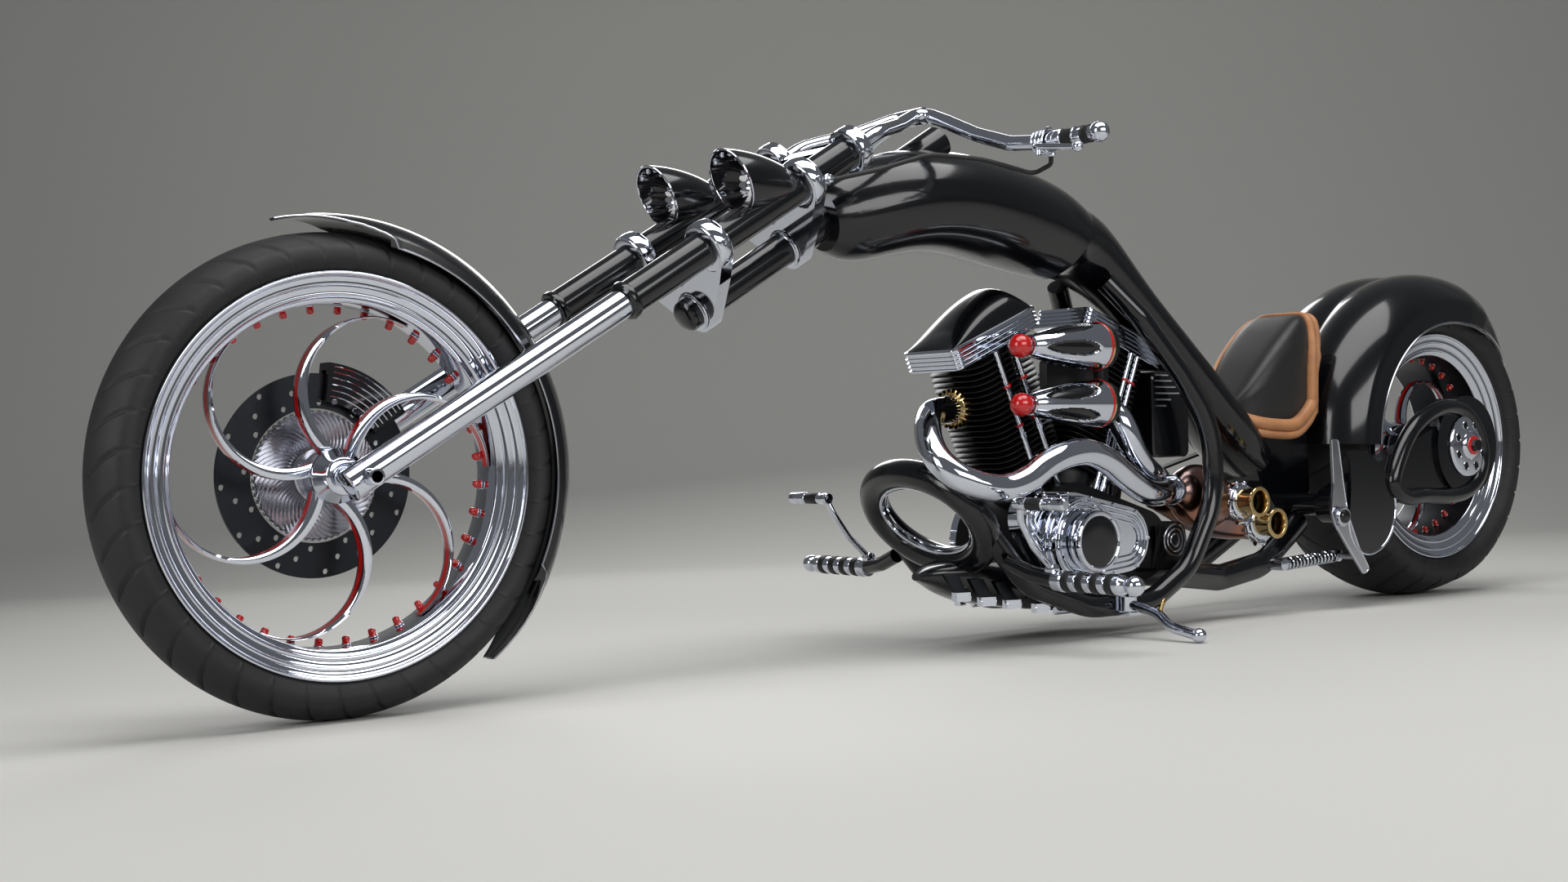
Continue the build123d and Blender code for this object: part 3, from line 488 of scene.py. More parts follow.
def buildSpokes(end):
    # curved blades: chrome front and back edges, red flanks, thick at the hub and thin at the rim
    size, section, steps = spokeSizes[end], spokeSizes["section"], spokeSizes["steps"]
    centre, root, boreR, hubR, hubHalf = (size[key] for key in ("centre", "root", "boreR", "hubR", "hubHalf"))
    points, faces, marks = [], [], []
    tip = size["barrel"] - 1.0
    outerC, outerR = (tip + root) / 2, (tip - root) / 2
    innerC, innerR = (tip - 2 + root * 2.2) / 2, (tip - 2 - root * 2.2) / 2
    n = len(section)
    for number in range(spokeSizes["count"]):
        away = radians(size["lead"]) - 2 * pi * number / spokeSizes["count"]
        base = len(points)
        for i in range(steps + 1):
            t = pi * (1 - i / steps)
            outer = Vector((outerC + outerR * cos(t), outerR * sin(t)))
            inner = Vector((innerC + innerR * cos(t), innerR * sin(t)))
            for lateral, deep in section:
                a, c = (outer + inner) / 2 + (outer - inner) / 2 * lateral
                x = centre[0] + a * cos(away) + c * sin(away)
                z = centre[1] + a * sin(away) - c * cos(away)
                bulge = size["depth"] / 2 - (4 if abs(deep) > 1 else 6) + (abs(deep) - 1) * 8
                points.append((x, bulge * (1 if deep > 0 else -1), z))
        for i in range(steps):
            low, high = base + i * n, base + (i + 1) * n
            for k in range(n):
                m = (k + 1) % n
                faces.append((low + k, high + k, high + m, low + m))
                marks.append(1 if k in spokeSizes["redSides"] else 0)
        faces.append(tuple(base + k for k in range(n)))
        faces.append(tuple(base + steps * n + k for k in range(n))[::-1])
        marks += [0, 0]
    piece = addMesh(end + "Blades", points, faces, "chrome", end + "_wheel", marks=marks, extra=("red",))
    autoSmooth(piece, 50)
    hub = [(boreR + 0.3, hubHalf), (boreR + 4, hubHalf + 0.3), (hubR * 0.62, hubHalf), (hubR * 0.7, hubHalf - 3),
           (hubR * 0.72, hubHalf * 0.7), (hubR * 0.98, hubHalf * 0.46), (hubR, hubHalf * 0.3)]
    hub += [(r, -y) for r, y in hub[::-1]]
    lathe(end + "Hub", centre, hub, "chrome", end + "_wheel", 96)
    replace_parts(piece, end + "_spokes")


for end in ("front", "rear"):
    buildTyre(end)
    buildRim(end)
    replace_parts(bpy.data.objects[end + "TyreTread"], end + "_tyre")
    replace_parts(bpy.data.objects[end + "RimSteps"], end + "_rim")
for end in ("front", "rear"):
    buildSpokes(end)
print("wheels built")

# Front brake: drilled disc, finned carrier and the caliper's bright edges

discSizes = {"centre": frontAxle, "bands": (98, 115.3, 132.6, 149.5), "sectors": 36, "hole": 4.3, "y": -65,
             "half": 2.4}


def buildDisc():
    size, shape = discSizes, newShape()
    pitch, sides = 2 * pi / size["sectors"], 16
    levels = [size["y"] + size["half"], size["y"] - size["half"]]
    for band in range(3):
        low, high = size["bands"][band], size["bands"][band + 1]
        for number in range(size["sectors"]):
            start = number * pitch
            edge = []
            for side in range(4):
                for i in range(4):
                    t = i / 4
                    u, v = ((t, 0), (1, t), (1 - t, 1), (0, 1 - t))[side]
                    edge.append((start + pitch * u, low + (high - low) * v))
            middle, radius = start + pitch / 2, (low + high) / 2
            hole = []
            if (number + 2 * band) % 3 == 0:
                for angle, r in edge:
                    toward = atan2(r - radius, (angle - middle) * radius)
                    hole.append((middle + size["hole"] * cos(toward) / radius,
                                 radius + size["hole"] * sin(toward)))
            for y in levels:
                base = len(shape["points"])
                shape["points"] += [wheelPoint(size["centre"], a, r, y) for a, r in edge + hole]
                cells = [tuple(base + k for k in range(sides))]
                if hole:
                    cells = [(base + k, base + (k + 1) % sides, base + sides + (k + 1) % sides, base + sides + k)
                             for k in range(sides)]
                shape["faces"] += cells
                shape["marks"] += [0] * len(cells)
            if hole:
                addRings(shape, [[wheelPoint(size["centre"], a, r, y) for a, r in hole] for y in levels], caps=False)
    for r in (size["bands"][0], size["bands"][-1]):
        rings = [[wheelPoint(size["centre"], 2 * pi * k / 144, r, y) for k in range(144)] for y in levels]
        addRings(shape, rings, caps=False)
    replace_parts(finishShape("drilledDisc", shape, "steel", "front_wheel", angle=25), "brake_disc")


carrierSizes = {"centre": frontAxle, "outer": 95.4, "inner": 30, "fins": 58, "rise": 3.0, "twist": 0.62, "trim": 3.0,
                "front": -60.5, "back": -69.5, "rings": 15, "across": 6, "hubFrom": -70,
                "hub": [(0, 24), (0.5, 38), (3, 40), (26, 40), (27.6, 38), (27.6, 13), (0, 13)]}


def buildCarrier():
    size, shape = carrierSizes, newShape()
    steps = size["fins"] * size["across"]
    rings = []
    for face, sign in ((size["front"], 1), (size["back"], -1)):
        for j in list(range(size["rings"] + 1))[::sign]:
            share = j / size["rings"]
            radius = size["inner"] + (size["outer"] - size["inner"]) * share
            ring = []
            for k in range(steps):
                wave = abs((k / size["across"]) % 1 - 0.5) * 2
                trim = size["trim"] * (1 - wave) if j == size["rings"] else 0
                twisted = 2 * pi * k / steps - size["twist"] * share ** 1.6
                y = face + sign * size["rise"] * (wave - 0.5) * min(1, share * 4 + 0.2)
                ring.append(wheelPoint(size["centre"], twisted, radius - trim, y))
            rings.append(ring)
    addRings(shape, rings, closedRings=True)
    addTurned(shape, wheelPoint(size["centre"], 0, 0, size["hubFrom"]), (0, 1, 0), size["hub"], 60)
    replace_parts(finishShape("finnedCarrier", shape, "polished", "front_wheel", angle=20), "disc_carrier")


caliperSizes = {"radii": (117, 126, 135, 144, 153, 161), "from": 100, "to": 144, "y": -48.4, "wire": 1.1,
                "boltAngles": (104, 122, 140), "boltR": 110, "bolt": [(0, 4.6), (3.4, 4.6), (4.2, 3.8), (4.2, 1.5)]}


def buildCaliperLines():
    size, shape = caliperSizes, newShape()
    for radius in size["radii"]:
        angles = [radians(size["from"] + (size["to"] - size["from"]) * i / 24) for i in range(25)]
        addTube(shape, [wheelPoint(frontAxle, angle, radius, size["y"]) for angle in angles], size["wire"], 6)
    for angle in size["boltAngles"]:
        foot = wheelPoint(frontAxle, radians(angle), size["boltR"], size["y"] - 3)
        addTurned(shape, foot, (0, 1, 0), size["bolt"], 6)
    finishShape("caliperLines", shape, "chrome", "fork")


buildDisc()
buildCarrier()
buildCaliperLines()
print("front brake built")

# Mudguards: a fine bright line along each edge

guardSizes = {
    "front": {"centre": frontAxle, "crown": 374, "edge": 332, "half": 66, "from": 77.5, "turn": 152, "wire": 1.7,
              # half width by x at the tip, and by z at the tail
              "tip": [(2000, 70), (2400, 70), (2490, 46), (2592, 2)], "tail": [(60, 8), (200, 70), (900, 70)]},
    "rear": {"centre": rearAxle, "crown": 368, "edge": 265, "half": 152, "from": 2, "tailTo": 156, "wall": 4,
             "wire": 2.2, "kick": 5,
             # by the angle in degrees: the share of the width, and the share of the section that is kept
             "narrow": [(104, 1), (116, 0.92), (124, 0.83), (136, 0.72), (148, 0.62), (156, 0.54)],
             "kept": [(100, 1), (116, 0.95), (124, 0.88), (136, 0.8), (146, 0.7), (153, 0.48), (156, 0.04)]},
}


def guardRadius(size, y):
    half, crown = size["half"], size["crown"]
    side = crown - 0.3 * half - 10
    outline = arcList((side, half), (crown - 12, half * 0.72), (crown, 0), 40)
    return min(outline, key=lambda point: abs(point[1] - abs(y)))[0]


def betweenPairs(pairs, value):
    for (x0, y0), (x1, y1) in zip(pairs, pairs[1:]):
        if x0 <= value <= x1:
            return y0 + (y1 - y0) * (value - x0) / (x1 - x0)
    return pairs[0][1] if value < pairs[0][0] else pairs[-1][1]


def buildGuardLines():
    size, shape = guardSizes["front"], newShape()
    for side in (-1, 1):
        path = []
        for i in range(121):
            angle = radians(size["from"] + size["turn"] * i / 120)
            x, _, z = wheelPoint(size["centre"], angle, 355, 0)
            width = min(betweenPairs(size["tip"], x), betweenPairs(size["tail"], z))
            if width < size["half"]:
                r = guardRadius(size, width) - 1.5
                path.append(wheelPoint(size["centre"], angle, r, side * (width - 0.5)))
            else:
                path.append(wheelPoint(size["centre"], angle, size["edge"] + 0.5, side * (size["half"] - 1)))
        addTube(shape, path, size["wire"], 6)
    finishShape("frontGuardLine", shape, "polished", "fork")


def buildRearGuard():
    size, shape, line = guardSizes["rear"], newShape(), newShape()
    half, crown, edge = size["half"], size["crown"], size["edge"]
    side = crown - 0.3 * half - 10
    outline = [(edge, half)] + arcList((side, half), (crown - 12, half * 0.72), (crown, 0), 24)
    outline += [(r, -y) for r, y in outline[-2::-1]]
    lengths = [0.0]
    for (r0, y0), (r1, y1) in zip(outline, outline[1:]):
        lengths.append(lengths[-1] + hypot(r1 - r0, y1 - y0))

    def along(share):
        want = (share + 1) / 2 * lengths[-1]
        i = max(k for k in range(len(lengths) - 1) if lengths[k] <= want + 1e-9)
        t = (want - lengths[i]) / (lengths[i + 1] - lengths[i])
        return [outline[i][j] + (outline[i + 1][j] - outline[i][j]) * t for j in (0, 1)]

    rings, edges = [], ([], [])
    for i in range(97):
        angle = size["from"] + (size["tailTo"] - size["from"]) * i / 96
        cut, narrow = betweenPairs(size["kept"], angle), betweenPairs(size["narrow"], angle)
        kick = size["kick"] * max(0, (angle - 104) / 46) ** 2
        outer, inner = [], []
        for k in range(49):
            r, y = along((2 * k / 48 - 1) * cut)
            outer.append(wheelPoint(size["centre"], radians(angle), r + kick, y * narrow))
            inner.append(wheelPoint(size["centre"], radians(angle), r + kick - size["wall"],
                                    y * narrow * (1 - size["wall"] / half)))
        rings.append(outer + inner[::-1])
        edges[0].append(outer[0])
        edges[1].append(outer[-1])
    addRings(shape, rings)
    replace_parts(finishShape("tailedGuard", shape, "black_paint", "frame", angle=40), "rear_mudguard")
    for path in edges:
        addTube(line, path, size["wire"], 6)
    finishShape("rearGuardLine", line, "polished", "frame")


buildGuardLines()
buildRearGuard()
print("mudguards built")

# Engine

engine = {"x": 1098, "z": 157, "vee": 22.5}


def cylinderPoint(side, a, b, h):
    t = radians(engine["vee"]) * side
    return (engine["x"] + a * cos(t) + h * sin(t), b, engine["z"] - a * sin(t) + h * cos(t))


finSizes = {"count": 23, "first": 160, "pitch": 10.7, "thick": 3.0, "halfA": 79, "halfB": 73, "corner": 30,
            "barrel": 58, "low": 92, "high": 408,
            # the fins' belly, their distance from the other cylinder, and the points along a notched edge
            "belly": 3.0, "apart": 1, "fine": 60,
            # the places of the rods along each cylinder's own a, and the notch that clears them
            "rods": {1: (-28, 16), -1: (-42, -24)}, "rodY": 68, "notch": 8.3}


def finOutline(side, h):
    size, corners = finSizes, []
    t = radians(engine["vee"]) * side
    limit = (size["apart"] - h * sin(t) * side) / cos(t)
    wave = size["belly"] * sin((h - size["first"]) / (size["high"] - size["first"]) * pi)
    plain = roundedBox(size["halfA"] - 4 + wave, size["halfB"], size["corner"], 6)
    for index, (a, b) in enumerate(plain):
        corners.append((a, b))
        if index == 6:  # the long left edge, where the rods pass
            corners += [(a + (plain[7][0] - a) * i / size["fine"], size["halfB"]) for i in range(1, size["fine"])]
    outline = []
    for a, b in corners:
        for rod in size["rods"][side]:
            off = abs(a - rod)
            if b > 0 and off < size["notch"]:
                b = min(b, size["rodY"] - sqrt(size["notch"] ** 2 - off ** 2))
        outline.append((max(a, limit) if side > 0 else min(a, -limit), b))
    return outline


def buildCylinders():
    size, shape = finSizes, newShape()
    for side in (1, -1):
        start, end = cylinderPoint(side, 0, 0, size["low"]), cylinderPoint(side, 0, 0, size["high"])
        length = size["high"] - size["low"]
        addTurned(shape, start, Vector(end) - Vector(start), [(0, size["barrel"]), (length, size["barrel"])], 48)
        for number in range(size["count"]):
            h = size["first"] + number * size["pitch"]
            rings = []
            for rise, inset in ((0, 1.2), (0.6, 0), (size["thick"] - 0.6, 0), (size["thick"], 1.2)):
                shareA, shareB = 1 - inset / size["halfA"], 1 - inset / size["halfB"]
                rings.append([cylinderPoint(side, a * shareA, b * shareB, h + rise)
                              for a, b in finOutline(side, h + rise)])
            addRings(shape, rings)
    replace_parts(finishShape("finnedCylinders", shape, "black_engine", "frame", angle=30), "cylinders")


coverSizes = {"halfA": 111, "halfB": 71, "corner": 13, "base": 408.3, "top": 448.3, "ribs": 4, "deep": 3.2}


hoodSizes = {"rises": {1: 54, -1: 18}, "foot": 448.5, "frontA": 104, "long": 208, "peak": 0.78, "halfB": 64,
             "round": 0.85, "fall": 0.6}


def buildCovers():
    size, shape = coverSizes, newShape()
    tall, deep = size["top"] - size["base"], size["deep"]
    step = (tall - 9) / size["ribs"]
    levels = [(0, 3), (1, 0.6)]
    for number in range(size["ribs"]):
        at = 1 + number * step
        levels += [(at + 0.8, 0), (at + step - 4.6, 0), (at + step - 3.6, deep), (at + step - 1.2, deep)]
    levels += [(tall - 7.2, 0), (tall - 3, 0), (tall - 0.9, 1), (tall, 3.2)]
    for side in (1, -1):
        rings = []
        for rise, inset in levels:
            outline = roundedBox(size["halfA"] - inset, size["halfB"] - inset, size["corner"])
            rings.append([cylinderPoint(side, a, b, size["base"] + rise) for a, b in outline])
        addRings(shape, rings)
    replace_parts(finishShape("ribbedCovers", shape, "chrome", "frame", angle=25), "rocker_covers")


def hoodShare(share):
    # the share of the full height, from the front edge, which is steep, to the rear
    size = hoodSizes
    if share < size["peak"]:
        return sin(pi / 2 * share / size["peak"]) ** size["round"]
    return max(0, cos(pi / 2 * (share - size["peak"]) / (1 - size["peak"]))) ** size["fall"]


def buildHoods():
    size, shape = hoodSizes, newShape()
    for side, rise in size["rises"].items():
        rings = []
        for i in range(41):
            share = i / 40
            height = max(rise * hoodShare(share), 0.2)
            ring = []
            for k in range(33):
                across, up = cos(pi * k / 32), abs(sin(pi * k / 32)) ** size["round"]
                b = size["halfB"] * abs(across) ** size["round"] * (1 if across > 0 else -1)
                ring.append(cylinderPoint(side, size["frontA"] - size["long"] * share, b, size["foot"] + height * up))
            rings.append(ring)
        addRings(shape, rings)
    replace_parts(finishShape("rockerHoods", shape, "black_paint", "frame", angle=50), "rocker_domes")


trumpetSizes = {
    "y": 150, "levels": ((534, -0.14), (431, -0.63)),  # height, and the turn of its oval recesses
    "back": 1095, "front": 1264, "steps": 120,
    "ovals": 5, "from": 0.17, "to": 0.87, "wide": 0.40, "deep": 4.0,
    # turned lips: x, (along, radius) pairs, sides, material
    "lips": ((1094, [(0, 40), (0.4, 43.6), (3, 44.8), (6, 44.6), (7, 43.4)], 60, 2),
             (1087, [(0, 37), (0.8, 41), (3, 42.4), (6, 42), (7.4, 40)], 60, 3),
             (1261, [(0, 17), (0.6, 19), (3.4, 19.4), (5, 17)], 40, 0),
             (1285, [(-21, 8), (-16, 13)], 24, 0)),
}


def buildTrumpets():
    size, shape = trumpetSizes, newShape()
    profile = arcList((size["back"], 44), (1180, 36), (size["front"], 18), 56)
    spread = 2 * pi / size["ovals"]
    for z, phase in size["levels"]:
        rings, inside = [], []
        for x, r in profile:
            share = (x - size["back"]) / (size["front"] - size["back"])
            along = (share - (size["from"] + size["to"]) / 2) / ((size["to"] - size["from"]) / 2)
            ring, dark = [], []
            for k in range(size["steps"]):
                angle = 2 * pi * k / size["steps"]
                off = ((angle - phase + spread / 2) % spread - spread / 2) / size["wide"]
                reach = along * along + off * off
                sunk = size["deep"] * min(1, max(0, (1 - reach) * 3.2))
                ring.append((x, size["y"] + (r - sunk) * cos(angle), z + (r - sunk) * sin(angle)))
                dark.append(1 if reach < 0.94 else 0)
            rings.append(ring)
            inside.append(dark)
        addRings(shape, rings, mark=lambda i, k, inside=inside: inside[i][k])
        for x, lip, sides, number in size["lips"]:
            addTurned(shape, (x, size["y"], z), (1, 0, 0), lip, sides, number)
    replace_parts(finishShape("ovalTrumpets", shape, "chrome", "frame", extra=("black_paint", "red", "brass"),
                            angle=32), "intake_trumpets")


intakeSizes = {
    "x": 1066, "dish": [(0, 16), (3, 30), (10, 39), (20, 42), (24, 42), (24, 30)],
    # between the trumpets: height and half width
    "neck": ((445, 14), (462, 17), (482, 18), (502, 17), (520, 14)),
    # from the cylinders outwards: y, half length and half height
    "bridge": ((74, 68, 30), (88, 66, 28), (94, 40, 26), (112, 18, 24), (140, 14, 22)), "bridgeZ": 483,
}


def buildIntakeBack():
    size, shape = intakeSizes, newShape()
    for z, _ in trumpetSizes["levels"]:
        addTurned(shape, (size["x"], trumpetSizes["y"], z), (1, 0, 0), size["dish"], 56)
    addRings(shape, [[(1080 + a, 138 + b, z) for a, b in roundedBox(12, half, 8)] for z, half in size["neck"]])
    rings = []
    for y, halfA, halfB in size["bridge"]:
        rings.append([(1098 - (y - 74) * 0.26 + a, y, size["bridgeZ"] + b) for a, b in roundedBox(halfA, halfB, 10)])
    addRings(shape, rings)
    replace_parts(finishShape("roundIntake", shape, "black_engine", "frame", extra=("chrome",), angle=40), "intake_body")


rodRingSizes = {"heights": {1: (262, 338), -1: (300, 352)},
                "ring": [(0, 6.2), (0.3, 8.6), (1.2, 9.2), (3.4, 9.2), (4.3, 8.6), (4.6, 6.2)]}


def buildRodRings():
    size, shape = rodRingSizes, newShape()
    for side in (1, -1):
        t = radians(engine["vee"]) * side
        for rod in finSizes["rods"][side]:
            for h in size["heights"][side]:
                foot = cylinderPoint(side, rod, finSizes["rodY"], h)
                addTurned(shape, foot, (sin(t), 0, cos(t)), size["ring"], 24)
    finishShape("rodRings", shape, "red", "frame")


flangeSizes = {
    "port": (1318, 12, 428), "heading": (128, 40, -14), "fins": 22,
    "collar": [(0, 24), (0, 29), (1.5, 30), (10, 30), (11, 29), (11, 22)],
    "rim": [(0, 21.4), (0.5, 25), (2, 26), (6, 26), (7.5, 25), (8, 21.4)],
    # a fin: along the pipe, how far out, half its thickness
    "fin": ((5, 29, 1.6), (5, 37, 1.3), (15, 36, 1.3), (19, 26, 1.3)), "finFoot": 22,
}


def buildFlange():
    size, shape = flangeSizes, newShape()
    port, heading = Vector(size["port"]), Vector(size["heading"]).normalized()
    addTurned(shape, port + heading * 4, heading, size["collar"], 48)
    first, second = axesAround(heading)
    for number in range(size["fins"]):
        angle = 2 * pi * number / size["fins"]
        radial = first * cos(angle) + second * sin(angle)
        across = heading.cross(radial)
        rings = []
        for along, reach, wide in size["fin"]:
            centre = port + heading * along + radial * reach
            inner = port + heading * along + radial * size["finFoot"]
            rings.append([centre + across * wide, centre - across * wide, inner - across * wide, inner + across * wide])
        addRings(shape, rings)
    addTurned(shape, port + heading * 17, heading, size["rim"], 48, 1)
    finishShape("brassFlange", shape, "brass", "frame", extra=("chrome",), angle=30)


camSizes = {
    "circles": ((1150, 190, 82), (1010, 180, 60), (1225, 228, 48)), "face": 131.3, "nose": (1150, 186),
    "lines": ((9, 3.0), (19, 2.6), (29, 2.6)), "bolts": 13,  # each line: how far in from the edge, and its radius
    # rings on the nose: y, radius, thickness
    "rings": ((166, 70, 3.4), (166, 62, 2.4), (152, 77, 2.6), (142, 78, 2.6), (184, 55, 2.4), (197, 50, 5.2)),
    "disc": (196.8, [(0, 48), (1.4, 48), (1.8, 46), (1.8, 20), (1.8, 2)]),
    "noseBolts": 8, "noseBoltR": 66, "noseBolt": [(0, 4), (3, 4), (3.8, 3), (3.8, 1)],
    # the tensioner above: start, heading, then offset, profile, material
    "bracket": (1190, 150, 262), "heading": (1, 0.25, 0.02),
    "drums": (((0, 0, 0), [(0, 9), (1, 12), (24, 12), (25, 11)], 0), ((25, 6.2, 0.5), [(0, 10.6), (14, 10.6)], 1),
              ((38.6, 9.6, 0.8), [(0, 11), (1, 12), (30, 12), (32, 10), (32, 3)], 0)),
}
driveSizes = {"circles": ((1120, 180, 86), (925, 165, 50)), "lines": (8, 18), "wire": 2.8, "bolts": 12,
              "disc": [(0, 48), (3, 48), (4, 46), (4.4, 2)], "rings": (30, 38)}
coverBolt = [(0, 4.4), (3.6, 4.4), (4.6, 3.4), (4.6, 1.2)]


def hullOutline(circles, inset, steps=96):
    points = []
    for x, z, r in circles:
        points += [(x + (r - inset) * cos(2 * pi * k / steps), z + (r - inset) * sin(2 * pi * k / steps))
                   for k in range(steps)]
    points.sort()

    def half(ordered):
        kept = []
        for p in ordered:
            while len(kept) > 1 and ((kept[-1][0] - kept[-2][0]) * (p[1] - kept[-2][1])
                                     - (kept[-1][1] - kept[-2][1]) * (p[0] - kept[-2][0])) <= 0:
                kept.pop()
            kept.append(p)
        return kept[:-1]
    return half(points) + half(points[::-1])


def evenLoop(outline, count):
    lengths = [0.0]
    loop = outline + [outline[0]]
    for a, b in zip(loop, loop[1:]):
        lengths.append(lengths[-1] + hypot(b[0] - a[0], b[1] - a[1]))
    result, i = [], 0
    for number in range(count):
        want = lengths[-1] * number / count
        while lengths[i + 1] < want:
            i += 1
        share = (want - lengths[i]) / max(lengths[i + 1] - lengths[i], 1e-6)
        result.append((loop[i][0] + (loop[i + 1][0] - loop[i][0]) * share,
                       loop[i][1] + (loop[i + 1][1] - loop[i][1]) * share))
    return result


def buildCamCover():
    size, shape = camSizes, newShape()
    x, z = size["nose"]
    for inset, wire in size["lines"]:
        loop = evenLoop(hullOutline(size["circles"], inset), 120)
        addTube(shape, [(px, size["face"] + 0.6, pz) for px, pz in loop], wire, 8, closed=True)
    for px, pz in evenLoop(hullOutline(size["circles"], 4), size["bolts"]):
        addTurned(shape, (px, size["face"] - 1, pz), (0, 1, 0), coverBolt, 12)
    for y, r, wire in size["rings"]:
        addRing(shape, (x, y, z), (0, 1, 0), r, wire, 72, 10)
    addTurned(shape, (x, size["disc"][0], z), (0, 1, 0), size["disc"][1], 60, 1)
    for number in range(size["noseBolts"]):
        angle = 2 * pi * (number + 0.5) / size["noseBolts"]
        addTurned(shape, wheelPoint(size["nose"], angle, size["noseBoltR"], 165), (0, 1, 0), size["noseBolt"], 12)
    for offset, profile, number in size["drums"]:
        addTurned(shape, Vector(size["bracket"]) + Vector(offset), size["heading"], profile, 28, number)
    finishShape("camDetails", shape, "chrome", "frame", extra=("black_paint",))


def buildDriveCover():
    size, shape = driveSizes, newShape()
    (x, z, _), (rearX, rearZ, _) = size["circles"]
    for inset in size["lines"]:
        loop = evenLoop(hullOutline(size["circles"], inset), 110)
        addTube(shape, [(px, -135.8, pz) for px, pz in loop], size["wire"], 8, closed=True)
    for px, pz in evenLoop(hullOutline(size["circles"], 4), size["bolts"]):
        addTurned(shape, (px, -134, pz), (0, -1, 0), coverBolt, 12)
    addRing(shape, (x, -136, z), (0, 1, 0), 52, 4, 64, 10)
    addTurned(shape, (x, -134, z), (0, -1, 0), size["disc"], 60, 1)
    for r in size["rings"]:
        addRing(shape, (rearX, -186.4, rearZ), (0, 1, 0), r, 2, 48, 8)
    finishShape("driveDetails", shape, "chrome", "frame", extra=("black_paint",))


keelRows = [
    # x, half width, bottom, top
    (1408, 12, 124, 136), (1378, 32, 111, 148), (1340, 50, 93, 156), (1292, 68, 77, 172), (1226, 92, 65, 174),
    (1170, 103, 57, 138), (1112, 104, 53, 96)]
slatSizes = {
    "places": ((1350, 48, 94), (1308, 68, 84), (1264, 86, 77), (1208, 101, 67)),  # x, y and z of each foot
    "foot": (14, 8, 8), "rise": 36, "slant": 16, "wide": 12,
    "bar": (1176, 1064, 110, 60),  # its front and rear x, y, z
}


def buildKeel():
    shape, rings = newShape(), []
    for i in range(37):
        x, half, low, top = smoothRow(keelRows, i / 36)
        ring = []
        for k in range(40):
            a, b = cos(2 * pi * k / 40), sin(2 * pi * k / 40)
            y = half * abs(a) ** 0.6 * (1 if a > 0 else -1)
            ring.append((x, y, (low + top) / 2 + (top - low) / 2 * abs(b) ** 0.6 * (1 if b > 0 else -1)))
        rings.append(ring)
    addRings(shape, rings)
    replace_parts(finishShape("keelPan", shape, "black_paint", "frame", angle=50), "belly_pan")


def buildSlats():
    size, shape = slatSizes, newShape()
    halfX, halfY, halfZ = size["foot"]
    sweep = 0.36  # the keel's side runs out by this much to the rear
    for side in (-1, 1):
        for x, y, z in size["places"] if side > 0 else size["places"][-1:]:
            ring = [(x + a, side * (y + 6 - a * sweep) + b) for a, b in roundedBox(halfX, halfY, 4)]
            addRings(shape, [[(px, py, z + rise) for px, py in ring] for rise in (-halfZ, halfZ)], mark=1)
            drum = [(0, 5), (1, 7), (2 * halfX, 7), (2 * halfX + 2, 5)]
            addTurned(shape, (x - halfX - 2, side * (y + 12), z), (1, -side * sweep, 0), drum, 20, 1)
            rings = []
            for share in (0, 0.25, 0.5, 0.75, 1):
                ahead, out = size["slant"] * share, 5 - 3 * share
                rings.append([(x + ahead + a, side * (y + out - (a + ahead) * sweep) + b, z + 4 + size["rise"] * share)
                              for a, b in roundedBox(size["wide"], 3, 2)])
            addRings(shape, rings)
        high, low, y, z = size["bar"]
        addTurned(shape, (low, side * y, z), (1, 0, 0), [(0, 6), (2, 8), (high - low - 2, 8), (high - low, 6)], 24, 1)
    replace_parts(finishShape("keelSlats", shape, "steel", "frame", extra=("chrome",)), "belly_slats")


railSizes = {
    "r": 20, "y": 131,
    # x, z, how far out; then the bend at each corner between
    "corners": [(1358, 214, 1), (1262, 112, 1), (1110, 62, 1), (950, 60, 1), (842, 118, 1), (764, 244, 1),
                (768, 384, 1), (842, 490, 0.9), (922, 592, 0.74), (978, 660, 0.48)],
    "bends": [120, 180, 120, 110, 170, 200, 200, 60],
    "rear": [(842, 110, 104), (700, 84, 86), (572, 84, 104), (426, 66, 186)], "rearBends": [90, 110],
    "tall": 26, "wide": 16,
}


def buildRails():
    size, shape = railSizes, newShape()
    for side in (-1, 1):
        corners = [(x, side * size["y"] * out, z) for x, z, out in size["corners"]]
        addTube(shape, roundedPath(corners, size["bends"], 14), size["r"], 32)
    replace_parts(finishShape("bowedRails", shape, "black_paint", "frame", angle=50), "frame_rails")
    shape = newShape()
    for side in (-1, 1):
        path = roundedPath([(x, side * y, z) for x, y, z in size["rear"]], size["rearBends"], 12)
        rings = []
        for i, point in enumerate(path):
            direction = (path[min(i + 1, len(path) - 1)] - path[max(i - 1, 0)]).normalized()
            across = Vector((0, 1, 0))
            up = direction.cross(across).normalized()
            rings.append([point + across * (size["wide"] * cos(2 * pi * k / 28))
                          + up * (size["tall"] * sin(2 * pi * k / 28)) for k in range(28)])
        addRings(shape, rings)
    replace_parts(finishShape("deepRearRails", shape, "black_paint", "frame", angle=50), "rear_rails")


hoopSizes = {
    "centre": (1375, 235), "slope": (0.595, 0.804),
    # two wires round its hole: half length, half width, place along its axis, radius, sides
    "wires": ((110, 76, 9, 4.6, 10), (107, 73, 0, 2.6, 8)),
}


def hoopPoint(a, b, n):
    # a across the bike, b up the hoop's plane, n out of it
    (x, z), (ahead, up) = hoopSizes["centre"], hoopSizes["slope"]
    return (x + ahead * b + up * n, a, z + up * b - ahead * n)


def buildHoopBezel():
    shape = newShape()
    for halfA, halfB, out, wire, sides in hoopSizes["wires"]:
        path = [hoopPoint(halfA * cos(2 * pi * k / 120), halfB * sin(2 * pi * k / 120), out) for k in range(120)]
        addTube(shape, path, wire, sides, closed=True)
    finishShape("hoopBezel", shape, "chrome", "frame")


